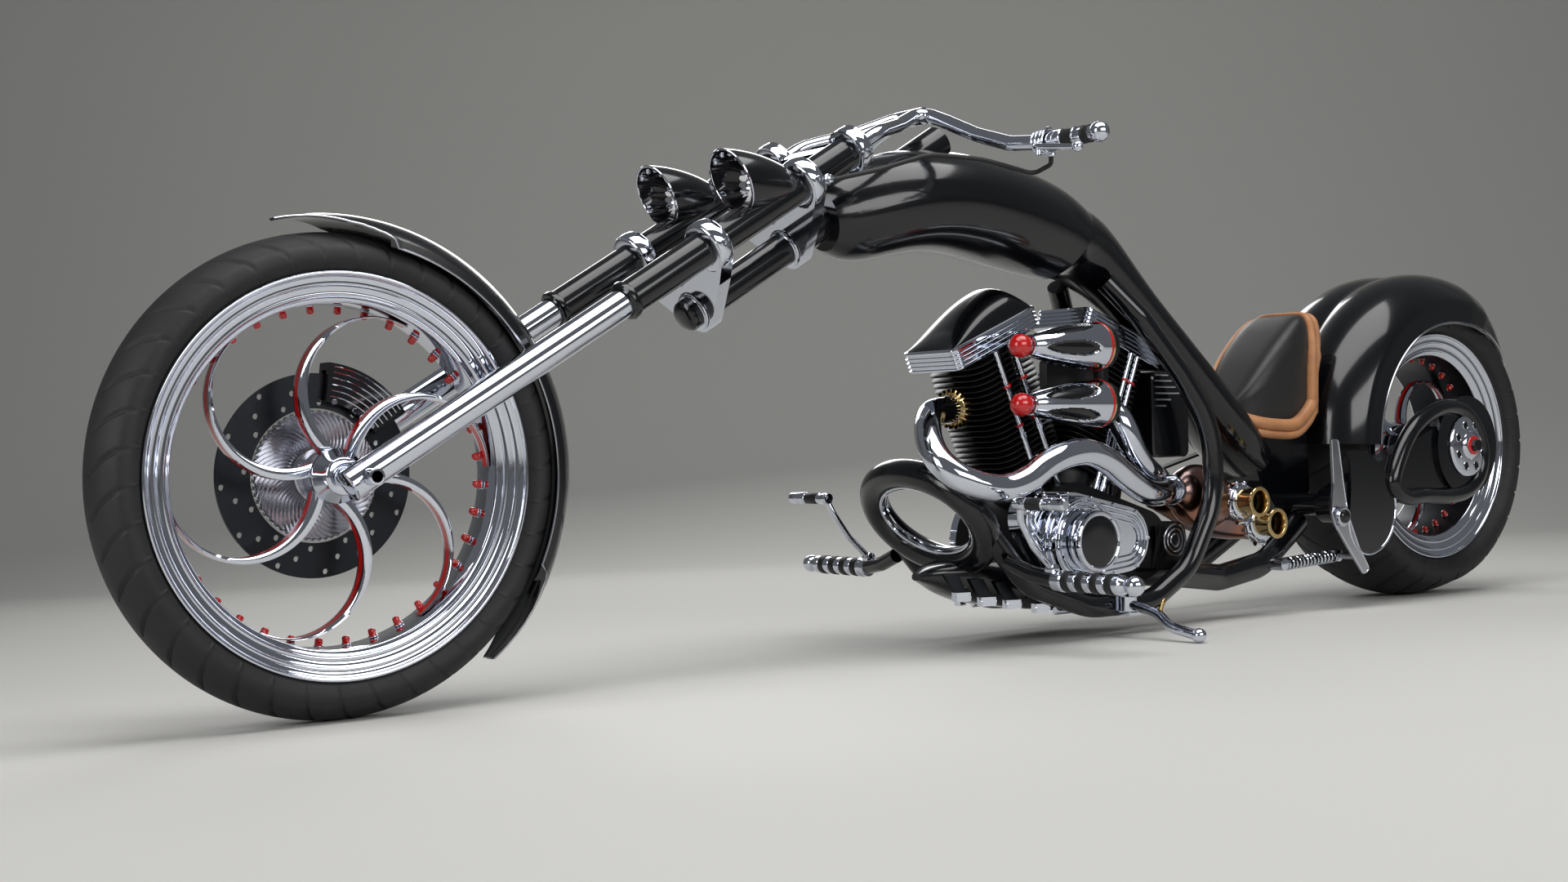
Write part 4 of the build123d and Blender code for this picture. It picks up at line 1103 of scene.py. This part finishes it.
buildCylinders()
buildCovers()
buildHoods()
buildTrumpets()
buildIntakeBack()
buildRodRings()
buildFlange()
buildCamCover()
buildDriveCover()
buildKeel()
buildSlats()
buildRails()
buildHoopBezel()
print("engine built")

# Fork, lamps and controls

forkSizes = {
    "legY": 106, "tubeStart": 497.8, "tubeEnd": 1031.8, "clamps": (681.8, 898.8), "bar": 1017.8, "stemUp": -103,
    # turned profiles: along the fork or across it, and radius
    "clamp": [(0, 28.4), (0, 37), (1.5, 40), (5, 42.4), (15, 43.4), (25, 42.4), (28.5, 40), (30, 37), (30, 28.4)],
    "screw": [(0, 7), (3.5, 7), (4.5, 6), (4.5, 3.4), (2.2, 3.2)],
    "barClamp": [(0, 28.4), (0, 36), (2, 39), (8, 40.6), (18, 40.6), (24, 39), (26, 36), (26, 28.4)],
    "cap": [(0, 27.5), (2, 27.2), (4, 24), (5, 14)], "foot": [(-1.5, 12), (-1.2, 20), (0.4, 22.9)],
    "axle": [(0, 8.4), (0, 11.6), (2, 12), (3, 11), (3.2, 8.4)], "stem": [(0, 34), (2, 33), (3, 30), (4, 29)],
    "nut": [(0, 26), (5, 26), (9, 23), (12, 16), (13.4, 8), (13.6, 1)],
    "seal": [(0, 24), (0.5, 29), (3, 31.5), (9, 32), (12, 30.6), (13, 28.2)],
}
forkAxis = (-cos(forkSlope), 0, sin(forkSlope))


def buildForkDetails():
    size, shape = forkSizes, newShape()
    down = [-c for c in forkAxis]
    for side in (-1, 1):
        y = side * size["legY"]
        for s in size["clamps"]:
            addTurned(shape, forkPoint(s - 15, 0, y), forkAxis, size["clamp"], 64, caps=False)
            addTurned(shape, forkPoint(s, 0, y + side * 41), (0, side, 0), size["screw"], 20)
        addTurned(shape, forkPoint(size["bar"] - 13, 0, y), forkAxis, size["barClamp"], 64, caps=False)
        addTurned(shape, forkPoint(size["tubeEnd"], 0, y), forkAxis, size["cap"], 48)
        addTurned(shape, forkPoint(-26, 0, y), forkAxis, size["foot"], 48)
        addTurned(shape, forkPoint(0, 0, side * 146), (0, side, 0), size["axle"], 40, caps=False)
    for s in size["clamps"]:
        addTurned(shape, forkPoint(s - 14, size["stemUp"], 0), down, size["stem"], 48)
        addTurned(shape, forkPoint(s + 14, size["stemUp"], 0), forkAxis, size["stem"], 48)
    finishShape("clampRings", shape, "chrome", "fork")
    shape = newShape()
    addTurned(shape, forkPoint(size["clamps"][0] - 28, size["stemUp"], 0), down, size["nut"], 48)
    for side in (-1, 1):
        foot = forkPoint(size["tubeStart"] - 2, 0, side * size["legY"])
        addTurned(shape, foot, forkAxis, size["seal"], 56, caps=False)
    finishShape("stemNut", shape, "black_paint", "fork")


lampSizes = {
    "s": 766.8, "up": 68.7, "y": 108, "r": 51, "length": 140, "tail": 14, "bulge": 9, "facets": 16,
    "mouthX": -5.68, "lean": 0.445,  # the visor's plane leans 24 degrees: its top stands ahead of its foot
    "rim": 1.9, "rimShare": 0.965, "balls": 4, "ball": 4.2, "ballR": 43.6,
    # the bowl inwards from its mouth: along and radius; then the bulb's profile
    "bowl": ((-2, 45.6), (-12, 44.2), (-24, 41), (-38, 34), (-50, 24), (-56, 14), (-57, 7)),
    "bulb": [(0, 9), (14, 9), (19, 7), (22, 1)],
}
lampX, _, lampZ = forkPoint(lampSizes["s"], lampSizes["up"])


def lampRadius(x):
    front, back, tail = lampSizes["r"], -lampSizes["length"], lampSizes["tail"]
    if x >= 0:
        return front
    curve = arcList((0, front), (back / 2, (front + tail) / 2 + lampSizes["bulge"]), (back, tail), 60)
    return min(curve, key=lambda point: abs(point[0] - x))[1]


def mouthPoint(angle, y):
    r = lampSizes["r"]
    for _ in range(4):
        x = lampSizes["mouthX"] + lampSizes["lean"] * r * sin(angle)
        r = lampRadius(x)
    return (lampX + x, y + r * cos(angle), lampZ + r * sin(angle))


def buildLamps():
    size, edge, bowls = lampSizes, newShape(), newShape()
    for side in (-1, 1):
        y = side * size["y"]
        loop = []
        for k in range(96):
            x, py, z = mouthPoint(2 * pi * k / 96, y)
            loop.append((x - 0.5, y + (py - y) * size["rimShare"], lampZ + (z - lampZ) * size["rimShare"]))
        addTube(edge, loop, size["rim"], 8, closed=True)
        for k in range(size["balls"]):
            angle, r = radians(50 + 27 * k), size["ballR"]
            addBall(edge, (lampX + 3, y + r * cos(angle), lampZ + r * sin(angle)), size["ball"], 14)
        rings = []
        for along, r in size["bowl"]:
            ring = []
            for k in range(size["facets"]):
                angle = 2 * pi * (k + 0.5) / size["facets"]
                shift = size["lean"] * r * sin(angle) if along == -2 else 0  # the mouth follows the visor
                ring.append((lampX + along + shift - (4 if shift else 0), y + r * cos(angle), lampZ + r * sin(angle)))
            rings.append(ring)
        addRings(bowls, rings, caps=False)
        addTurned(bowls, (lampX - 57, y, lampZ), (1, 0, 0), size["bulb"], 20)
    finishShape("lampEdges", edge, "chrome", "fork")
    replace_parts(finishShape("facetedBowls", bowls, "reflector", "fork", angle=24), "lamp_reflectors")


controlSizes = {
    "s": 1226.8, "up": -118,
    # y and radius along the grip; the runs named in rubber are its bands
    "grip": [(332, 13), (332.4, 15), (345, 15), (345.6, 14), (347, 14), (347.6, 15), (360, 15), (362, 15.8), (364, 15),
             (366, 14.6), (388, 14.6), (390, 15), (392, 15.8), (394, 15), (408, 15), (410, 13.6), (414, 13.6),
             (415, 14.6), (422, 14.6), (423, 12), (430, 11)],
    "rubber": (8, 9, 14, 15, 16, 17, 18), "ballY": 440, "ball": 16.6,
    "rings": (305, 313, 322, 329), "ring": (19.2, 1.5),
    # perch screw, pivot and lever screw; then the brake line's fitting on the upper clamp
    "perchY": 318, "screw": [(0, 6), (12, 6), (13.4, 4.6), (13.4, 2.4)], "pivot": [(-3, 5), (18, 5), (20, 3.4)],
    "lever": [(0, 6.5), (9, 6.5), (11, 5)], "fitting": [(-1, 9), (2.4, 9), (4, 7.4), (9, 6.4), (10, 4.6)],
}


def buildControls():
    size, shape = controlSizes, newShape()
    x, _, z = forkPoint(size["s"], size["up"])
    marks = [1 if i in size["rubber"] else 0 for i in range(len(size["grip"]) - 1)]
    for side in (-1, 1):
        addTurned(shape, (x, 0, z), (0, side, 0), size["grip"], 40, marks)
        addBall(shape, (x, side * size["ballY"], z), size["ball"], 28)
    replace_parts(finishShape("bandedGrips", shape, "chrome", "fork", extra=("rubber",)), "grips")
    shape = newShape()
    r, wire = size["ring"]
    for side in (-1, 1):
        y = side * size["perchY"]
        for at in size["rings"]:
            addRing(shape, (x, side * at, z), (0, 1, 0), r, wire, 40, 8)
        addTurned(shape, (x - 4, y, z + 12), (-0.5, 0, 0.86), size["screw"], 6)
        addTurned(shape, (x + 16, y, z - 20), (0, 0, 1), size["pivot"], 20)
        addTurned(shape, forkPoint(1232.8, -136, y), (0, 0, -1), size["lever"], 20)
    addTurned(shape, forkPoint(929.8, -12, 131), (0, 1, 0), size["fitting"], 24)
    finishShape("controlRings", shape, "chrome", "fork")


pegSizes = {
    "x": 1311, "z": 130, "bands": 4, "bandFrom": 276, "bandStep": 33,
    # y and radius: the inner end, one band with its gap, which runs are rubber, the outer end
    "inner": [(250, 13), (251, 17), (264, 17), (266, 18.6), (272, 18.6), (274, 16)],
    "band": [(0, 16), (1, 18), (13, 18), (14, 15.4), (17, 15.4), (18, 17), (29, 17), (30, 15.4)],
    "bandMarks": [0, 1, 1, 1, 0, 0, 0, 0], "end": [(409, 14), (416, 12)], "ball": (430, 16.8),
    "arm": [(1326, 150, 158), (1320, 200, 140), (1311, 258, 130)], "armR": 14,
}
leverSizes = {
    "foot": (1315, 149), "toe": (1402, 265), "wire": 6,
    "arm": [(1315, 246, 149.6), (1360, 248, 190), (1392, 252, 235), (1402, 262, 265)],
    "pedal": [(258, 9), (260, 11), (274, 11), (276, 9.6), (280, 9.6), (282, 10.6), (318, 10.6), (320, 9.6), (322, 11),
              (340, 11), (341, 9.8), (344, 9.8), (345, 11), (360, 11), (366, 10.2), (369, 7)],
    "rubber": 5, "eye": [(0, 8), (1, 10), (17, 10), (18, 8)], "boss": [(0, 6), (1, 10), (8, 10)],
}


def buildPegs():
    size, shape = pegSizes, newShape()
    x, z = size["x"], size["z"]
    profile, marks = list(size["inner"]), [0] * (len(size["inner"]) - 1)
    for number in range(size["bands"]):
        at = size["bandFrom"] + number * size["bandStep"]
        profile += [(at + along, r) for along, r in size["band"]]
        marks += size["bandMarks"]
    profile += size["end"]
    marks += [0] * len(size["end"])
    for side in (-1, 1):
        addTurned(shape, (x, 0, z), (0, side, 0), profile, 44, marks)
        addBall(shape, (x, side * size["ball"][0], z), size["ball"][1], 28)
        path = roundedPath([(px, side * y, pz) for px, y, pz in size["arm"]], [60], 12)
        addTube(shape, path, size["armR"], 24, mark=2)
    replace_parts(finishShape("ringedPegs", shape, "chrome", "frame", extra=("rubber", "black_paint")), "footpegs")


def buildFootLevers():
    size, shape = leverSizes, newShape()
    (x, z), (toeX, toeZ) = size["foot"], size["toe"]
    marks = [1 if i == size["rubber"] else 0 for i in range(len(size["pedal"]) - 1)]
    for side in (-1, 1):
        path = roundedPath([(px, side * y, pz) for px, y, pz in size["arm"]], [60, 40], 10)
        addTube(shape, path, size["wire"], 16)
        addTurned(shape, (toeX, 0, toeZ), (0, side, 0), size["pedal"], 32, marks)
        addTurned(shape, (x, side * 237, z), (0, side, 0), size["eye"], 28)
        addTurned(shape, (toeX, side * 252, toeZ), (0, side, 0), size["boss"], 28)
    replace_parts(finishShape("toeLevers", shape, "chrome", "frame", extra=("rubber",)), "foot_levers")


buildForkDetails()
buildLamps()
buildControls()
buildPegs()
buildFootLevers()
print("fork, lamps and controls built")

# Seat: a black panel, boxy in section, with a doubled tan roll round its lower and rear edges

seatSizes = {
    # from the nose to the back: x, height of the crest, half width, height of the lower edge
    "rows": [(588, 430, 34, 412), (560, 468, 60, 398), (516, 520, 76, 390), (460, 572, 82, 390), (418, 602, 80, 412),
             (392, 610, 75, 434)],
    "boxy": 0.3,
    # the two rolls: how far outside the edge, radius along the lower edge, up the back and over its top
    "rolls": ((8, 13, 9, 5), (29, 8, 7.5, 4)), "backAway": 0.8,
    "piping": {"angle": 121, "r": 4.4},
}


def seatSection(u, angle, inset=0.0):
    # angle runs from the left lower edge over the crest to the right one
    x, crest, half, low = smoothRow(seatSizes["rows"], u)
    across, rise = cos(angle), max(sin(angle), 0)
    sign = 1 if across > 0 else -1
    return Vector((x, (half - inset) * sign * abs(across) ** seatSizes["boxy"],
                   low + (crest - low - inset) * rise ** seatSizes["boxy"]))


def seatBorder():
    # points of the edge, the way out of it, and the share of the radius from the lower edge to the top of the back
    border = []
    for side in (1, -1):
        line = [(seatSection(i / 40, 0 if side > 0 else pi), Vector((0.1, side * 0.25, -1)), 0) for i in range(40)]
        border.append(line)
    back = []
    for k in range(61):
        angle = pi * k / 60
        point = seatSection(1, angle)
        height = sin(angle) ** 0.5 if 0 < k < 60 else 0
        ease = min(1, 6 * min(k, 60 - k) / 60)
        outward = Vector((-ease, 0.25 * cos(angle) * (1 - ease), -(1 - ease)))
        back.append((point, outward, 1 + max(0, height - 0.85) / 0.15 if ease >= 1 else ease))
    return border[0] + back + border[1][::-1]


def buildSeat():
    shape, rings = newShape(), []
    for i in range(49):
        u = i / 48
        ring = []
        for k in range(57):
            edge = min(1, min(u, 1 - u) * 14, min(k, 56 - k) / 4)
            ring.append(seatSection(u, pi * k / 56, 5 - 5 * edge ** 0.6))
        x, _, half, low = smoothRow(seatSizes["rows"], u)
        ring += [Vector((x, -half * 0.9, low - 16)), Vector((x, half * 0.9, low - 16))]
        rings.append(ring)
    addRings(shape, rings)
    pad = finishShape("seatPad", shape, "leather", "frame", angle=60)
    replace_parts(pad, "seat_pad")
    shape = newShape()
    border = seatBorder()
    for away, low, up, top in seatSizes["rolls"]:
        rings, count = [], len(border)
        loop = [point + outward.normalized() * away * (1 if share < 0.5 else seatSizes["backAway"])
                for point, outward, share in border]
        for i, (point, outward, share) in enumerate(border):
            direction = (loop[(i + 1) % count] - loop[i - 1]).normalized()
            first = (outward - direction * outward.dot(direction)).normalized()
            second = direction.cross(first)
            r = low + (up - low) * min(share, 1) + (top - up) * max(0, share - 1)
            rings.append([loop[i] + (first * cos(2 * pi * k / 16) + second * sin(2 * pi * k / 16)) * r
                          for k in range(16)])
        addRings(shape, rings, closedRings=True)
    piping = seatSizes["piping"]
    addTube(shape, [seatSection(0.04 + 0.95 * i / 40, radians(piping["angle"])) for i in range(41)], piping["r"], 12)
    trim = finishShape("seatRolls", shape, "tan_leather", "frame", angle=60)


buildSeat()
print("seat built")

# Exhaust ends, rear links, springs and hub

rear = {
    "faceY": 168.3, "hub": rearAxle, "pin": (381, 112), "bolt": (437, 196), "springY": 118,
    # bright lines along the leaf cover and round the strap, both as x and z
    "leaf": (((256, 232), (266, 160), (322, 118)), ((322, 118), (380, 126), (408, 186))), "leafWire": 2.6,
    "strap": [(458, 350), (455, 262), (463, 205), (450, 178), (402, 120), (364, 76), (345, 84), (378, 130), (412, 200),
              (424, 262), (438, 350), (458, 350)], "strapWire": 1.4,
    "washer": [(0, 19), (2, 20), (5, 20), (7, 17.6), (7, 13)], "nut": [(0, 13.6), (8, 13.6), (10.5, 11), (11.5, 2)],
    "hubDisc": [(0, 62), (1, 66), (4, 67), (7, 64), (8, 60), (9, 30), (13, 27), (15, 22)],
    # the holes are drawn as black discs in chrome rings: painted shade in place of openings
    "holes": 8, "holeR": 47, "hole": [(-1, 8), (0.8, 8)],
    "axleRing": [(0, 20), (3, 20), (4, 18)], "axleNut": [(0, 14), (11, 14), (13, 12), (13, 3)],
    "nipple": [(0, 5), (4, 6), (10, 6), (11, 4.4), (26, 4.4), (27, 6), (34, 6), (37, 3)],
    "nippleAt": (928, 146, 66), "nippleHeading": (22, 6, -32),
    # the swingarm's loop round the axle
    "arch": [(258, 252), (236, 308), (192, 362), (132, 396), (72, 410), (12, 402), (-32, 368), (-56, 316), (-44, 264),
             (-2, 232), (62, 222), (150, 226), (216, 226)], "archY": 172, "archR": 17,
    "archEye": (164, 78, 9),  # y, radius and thickness of the ring round the axle
}


pipeSizes = {
    "r": 24,
    "front": [(1322, 14, 427), (1403, 50, 421), (1453, 92, 399), (1480, 128, 368), (1486, 160, 337), (1468, 186, 312),
              (1432, 200, 296), (1386, 209, 290), (1337, 213, 303), (1292, 215, 327), (1246, 216, 342),
              (1190, 213, 345), (1130, 203, 328), (1062, 184, 296), (980, 154, 268), (900, 116, 260),
              (850, 88, 262), (815, 76, 264)],
    "rear": [(1000, 74, 419), (1001, 104, 410), (992, 118, 382), (972, 118, 345), (934, 106, 314), (888, 84, 298),
             (845, 54, 286), (812, 32, 268)],
}
mufflerSizes = {
    # the two ends of each axis; then along it from the front, the radius up and down, and the share of it across
    "axes": (((867, 69, 262), (655, 70, 234)), ((883, 19, 265), (603, 70, 190))),
    "upper": [(0.20, 25, 1), (0.28, 33, 0.9), (0.38, 50, 0.72), (0.52, 62, 0.6), (0.66, 64, 0.6), (0.80, 55, 0.68),
              (0.92, 43, 0.86), (0.98, 37, 1), (1.03, 34, 1)],
    "lower": [(0.20, 24, 1), (0.34, 34, 0.9), (0.50, 46, 0.8), (0.66, 50, 0.8), (0.84, 44, 0.86), (0.95, 37, 1),
              (1.02, 34, 1)],
}


def buildPipes():
    shape = newShape()
    for run in ("front", "rear"):
        rows = [list(point) for point in pipeSizes[run]]
        count = 9 * (len(rows) - 1)
        addTube(shape, [smoothRow(rows, i / count) for i in range(count + 1)], pipeSizes["r"], 32)
    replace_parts(finishShape("chromePipes", shape, "chrome", "frame", angle=50), "exhaust_pipes")
    shape = newShape()
    for (start, end), name in zip(mufflerSizes["axes"], ("upper", "lower")):
        start, end, rings = Vector(start), Vector(end), []
        rows = [list(entry) for entry in mufflerSizes[name]]
        for i in range(33):
            share, r, squash = smoothRow(rows, i / 32)
            centre = start + (end - start) * share
            rings.append([centre + Vector((0, r * squash * cos(2 * pi * k / 56), r * sin(2 * pi * k / 56)))
                          for k in range(56)])
        addRings(shape, rings)
    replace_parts(finishShape("copperMufflers", shape, "copper", "frame", angle=50), "mufflers")


tipSizes = {
    "places": ((655, 234), (603, 190)),
    "tip": [(0, 26), (38, 26), (41, 29.4), (43.5, 30), (45, 28.6), (45, 22.6), (43, 21.4), (20, 21.2), (12, 21)],
    "inside": 7,  # the run of the profile that shows black down the bore, with its closed end: painted shade for the pipe's depth
    "clamp": [(0, 34), (1, 37), (5, 38), (9, 36.6), (11, 33), (14, 32), (17, 33.4), (19, 30), (20, 26.4)],
    "bolts": 10, "boltR": 37, "bolt": [(0, 4.6), (9, 4.6), (11, 3), (11, 1)],
    "screw": [(-12, 5.5), (-8, 5.5), (-8, 3.5), (12, 3.5), (12, 5.5), (15, 5.5)],
    # where the pipes run into the mufflers: place and heading
    "joints": (((828, 80, 263), (-35, -12, 2)), ((834, 47, 281), (-33, -22, -16))),
    "sleeve": [(-6, 24), (-6, 27), (-3, 29), (6, 29), (9, 27), (9, 24)],
}


def buildExhaustEnds():
    size, shape = tipSizes, newShape()
    # the deep run of the bore and its end take satin black: painted shade standing in for the open pipe's depth
    marks = [1 if i == size["inside"] else 0 for i in range(len(size["tip"]) - 1)]
    for x, z in size["places"]:
        addTurned(shape, (x, 108.4, z), (0, 1, 0), size["tip"], 60, marks)
    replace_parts(finishShape("brassTips", shape, "brass", "frame", extra=("black_engine",)), "exhaust_tips")
    shape = newShape()
    for x, z in size["places"]:
        addTurned(shape, (x, 96, z), (0, 1, 0), size["clamp"], 48)
        for number in range(size["bolts"]):
            angle, r = 2 * pi * number / size["bolts"], size["boltR"]
            addTurned(shape, (x + r * cos(angle), 97, z + r * sin(angle)), (0, 1, 0), size["bolt"], 12)
        addTurned(shape, (x + 6, 112, z - 40), (1, 0, 0), size["screw"], 6)
    for point, heading in size["joints"]:
        addTurned(shape, point, heading, size["sleeve"], 48, caps=False)
    finishShape("exhaustClamps", shape, "chrome", "frame")


def buildRearLinks():
    size, shape = rear, newShape()
    face = size["faceY"]
    first, second = size["leaf"]
    leaf = arcList(*first, 16)[:-1] + arcList(*second, 12)
    addTube(shape, [(x, face + 5, z) for x, z in leaf], size["leafWire"], 8)
    x, z = size["bolt"]
    addTurned(shape, (x, face + 11, z), (0, 1, 0), size["washer"], 44)
    addTurned(shape, (x, face + 12, z), (0, 1, 0), size["nut"], 36, 1)
    corners = len(size["strap"]) - 2
    addTube(shape, roundedPath([(x, face + 6, z) for x, z in size["strap"]], [8] * corners, 4), size["strapWire"], 6)
    x, z = size["hub"]
    addTurned(shape, (x, 175.6, z), (0, 1, 0), size["hubDisc"], 72)
    # each hole is a black disc in a chrome ring: painted shade standing in for the opening
    for number in range(size["holes"]):
        angle = 2 * pi * (number + 0.5) / size["holes"]
        px, py, pz = wheelPoint(size["hub"], angle, size["holeR"], 184)
        addTurned(shape, (px, py, pz), (0, 1, 0), size["hole"], 24, 1)
        addRing(shape, (px, 184.4, pz), (0, 1, 0), 8.6, 1.1, 24, 6)
    addTurned(shape, (x, 190, z), (0, 1, 0), size["axleRing"], 40, 2)
    addTurned(shape, (x, 191, z), (0, 1, 0), size["axleNut"], 6, 1)
    finishShape("rearLinkDetails", shape, "chrome", "frame", extra=("black_paint", "red"))
    shape = newShape()
    addTurned(shape, size["nippleAt"], size["nippleHeading"], size["nipple"], 20)
    finishShape("railNipple", shape, "brass", "frame")


def buildArch():
    shape, arch = newShape(), rear["arch"]
    rows = [[x, rear["archY"], z] for x, z in [arch[-1]] + arch + arch[:2]]
    count = len(rows) - 1
    path = [smoothRow(rows, (1 + (count - 2) * i / 120) / count) for i in range(120)]
    addTube(shape, path, rear["archR"], 18, closed=True)
    y, r, wire = rear["archEye"]
    addRing(shape, (rearAxle[0], y, rearAxle[1]), (0, 1, 0), r, wire, 80, 12)
    finishShape("swingarmArch", shape, "black_paint", "frame")


def helix(shape, start, end, radius, wire, turns, per=18):
    start, end = Vector(start), Vector(end)
    axis = (end - start).normalized()
    first, second = axesAround(axis)
    steps = turns * per
    path = []
    for i in range(steps + 1):
        angle = 2 * pi * i / per
        path.append(start + (end - start) * (i / steps) + (first * cos(angle) + second * sin(angle)) * radius)
    addTube(shape, path, wire, 8)


springSizes = {
    "front": (554, 104), "coilR": 11.2, "wire": 2.3, "turns": 13, "from": 0.09, "to": 0.92, "cups": (0.07, 0.92),
    "cup": [(0, 8), (0, 13.4), (4, 13.4), (4, 8)], "rod": 8,
    "pins": ((97.8, 130), (107, 129)),  # from and to in y, at the front and at the rear
}


def buildSprings():
    size, shape, y = springSizes, newShape(), rear["springY"]
    start, end = Vector((size["front"][0], y, size["front"][1])), Vector((rear["pin"][0], y, rear["pin"][1]))
    axis = end - start
    addTurned(shape, start, axis, [(0, size["rod"]), (axis.length, size["rod"])], 20, 1)
    helix(shape, start + axis * size["from"], start + axis * size["to"], size["coilR"], size["wire"], size["turns"])
    for at in size["cups"]:
        addTurned(shape, start + axis * at, axis, size["cup"], 32, caps=False)
    for point, (low, high) in zip((start, end), size["pins"]):
        long = high - low
        addTurned(shape, (point[0], low, point[2]), (0, 1, 0), [(0, 10), (1, 12), (long - 1, 12), (long, 10)], 32)
    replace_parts(finishShape("coiledSpring", shape, "chrome", "frame", extra=("black_paint",)), "rear_spring")


boxSizes = {"middle": (822, 408), "half": (51, 82), "corner": 14, "wide": 79, "front": 867,
            "louvres": ((814, 484), (803, 473), (795, 461), (788, 449), (818, 437), (832, 425)), "wire": 1.9}


def addBlock(shape, size, right, left, soft):
    # a box with round corners, seen from the side, and soft edges at its two faces
    (x, z), (halfX, halfZ) = size["middle"], size["half"]
    levels = ((right, soft), (right + soft, 0), (left - soft, 0), (left, soft))
    addRings(shape, [[(x + a, y, z + b) for a, b in roundedBox(halfX - inset, halfZ - inset, size["corner"])]
                     for y, inset in levels])


def buildElectricsBox():
    size, shape = boxSizes, newShape()
    addBlock(shape, size, -size["wide"], size["wide"], 3)
    for back, up in size["louvres"]:
        for side in (-1, 1):
            y = side * (size["wide"] + 0.6)
            addTube(shape, [(back + 6, y, up), (size["front"], y, up)], size["wire"], 6, mark=1)
    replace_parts(finishShape("electricsBox", shape, "black_paint", "frame", extra=("polished",)), "side_panels")


gearboxSizes = {"middle": (884, 155), "half": (84, 48), "corner": 26, "right": -70, "left": 95, "eye": (838, 168),
                "rings": (30, 21, 12)}


def buildGearbox():
    size, shape = gearboxSizes, newShape()
    addBlock(shape, size, size["right"], size["left"], 5)
    x, z = size["eye"]
    for r in size["rings"]:
        addRing(shape, (x, size["left"] + 0.5, z), (0, 1, 0), r, 2, 48, 8, 1)
    finishShape("gearboxHousing", shape, "black_engine", "frame", extra=("polished",))


buildPipes()
buildExhaustEnds()
buildRearLinks()
buildArch()
buildSprings()
buildElectricsBox()
buildGearbox()
print("rear built")

# Camera, floor and light

cameraData = bpy.data.cameras.new("camera")
camera = bpy.data.objects.new("camera", cameraData)
bpy.context.collection.objects.link(camera)
bpy.context.scene.camera = camera
cameraData.sensor_width = 36
cameraSizes = {"lens": 43.89, "yaw": 0.642, "pitch": 0.020, "roll": -0.045, "place": (3.619, 2.589, 0.314)}
cameraData.lens = cameraSizes["lens"]
yaw, pitch, roll = cameraSizes["yaw"], cameraSizes["pitch"], cameraSizes["roll"]
ahead = Vector((-sin(yaw) * cos(pitch), -cos(yaw) * cos(pitch), sin(pitch)))
right = ahead.cross(Vector((0, 0, 1))).normalized()
above = right.cross(ahead)
rightRolled = cos(roll) * right + sin(roll) * above
aboveRolled = cos(roll) * above - sin(roll) * right
turn = Matrix((rightRolled, aboveRolled, -ahead)).transposed()
place = Vector(cameraSizes["place"]) + Vector(sharedShift)
camera.matrix_world = Matrix.Translation(place) @ turn.to_4x4()
cameraData.clip_start = 0.05

# floor and backdrop are one sheet that curves up behind the bike
stage = {"colour": "c4c3bf", "behind": 3.6, "bend": 2.6, "height": 6.0, "wide": 16.0, "near": -9.0}
level = Vector((ahead.x, ahead.y, 0)).normalized()
across = Vector((-level.y, level.x, 0))
outline = [(stage["near"], 0.0)]
for i in range(25):
    angle = pi / 2 * i / 24
    outline.append((stage["behind"] + stage["bend"] * sin(angle), stage["bend"] * (1 - cos(angle))))
outline.append((stage["behind"] + stage["bend"], stage["height"]))
sheetPoints, sheetFaces = [], []
for i, (far, up) in enumerate(outline):
    for side in (-1, 1):
        sheetPoints.append(level * far + across * stage["wide"] * side + Vector((0, 0, up)))
    if i:
        sheetFaces.append((2 * i - 2, 2 * i - 1, 2 * i + 1, 2 * i))
floorMesh = bpy.data.meshes.new("floor")
floorMesh.from_pydata(sheetPoints, [], sheetFaces)
floor = bpy.data.objects.new("floor", floorMesh)
bpy.context.collection.objects.link(floor)
floorMesh.materials.append(shader("floor", stage["colour"], roughness=0.8))
for polygon in floorMesh.polygons:
    polygon.use_smooth = True

world = bpy.data.worlds.new("studio")
bpy.context.scene.world = world
world.use_nodes = True
world.node_tree.nodes["Background"].inputs["Color"].default_value = linear("c9ccd0")
world.node_tree.nodes["Background"].inputs["Strength"].default_value = 0.22


# four soft boxes in metres and watts: name, place, size, power
lights = (("softTop", (0.2, 0.8, 3.4), (4.0, 2.2), 105), ("softLeft", (0.4, 4.2, 1.8), (3.6, 1.6), 75),
          ("softFront", (4.4, 0.6, 1.6), (1.6, 2.0), 50), ("softBack", (-1.8, -3.4, 2.4), (3.0, 1.4), 60))


def areaLight(name, at, size, power, aim=(0, 0, 0.4)):
    data = bpy.data.lights.new(name, "AREA")
    data.shape = "RECTANGLE"
    data.size, data.size_y = size
    data.energy = power
    light = bpy.data.objects.new(name, data)
    bpy.context.collection.objects.link(light)
    light.location = at
    light.rotation_euler = (Vector(aim) - Vector(at)).to_track_quat("-Z", "Y").to_euler()


for light in lights:
    areaLight(*light)
bpy.context.scene.view_settings.view_transform = "Standard"
print("camera, floor and lights set")
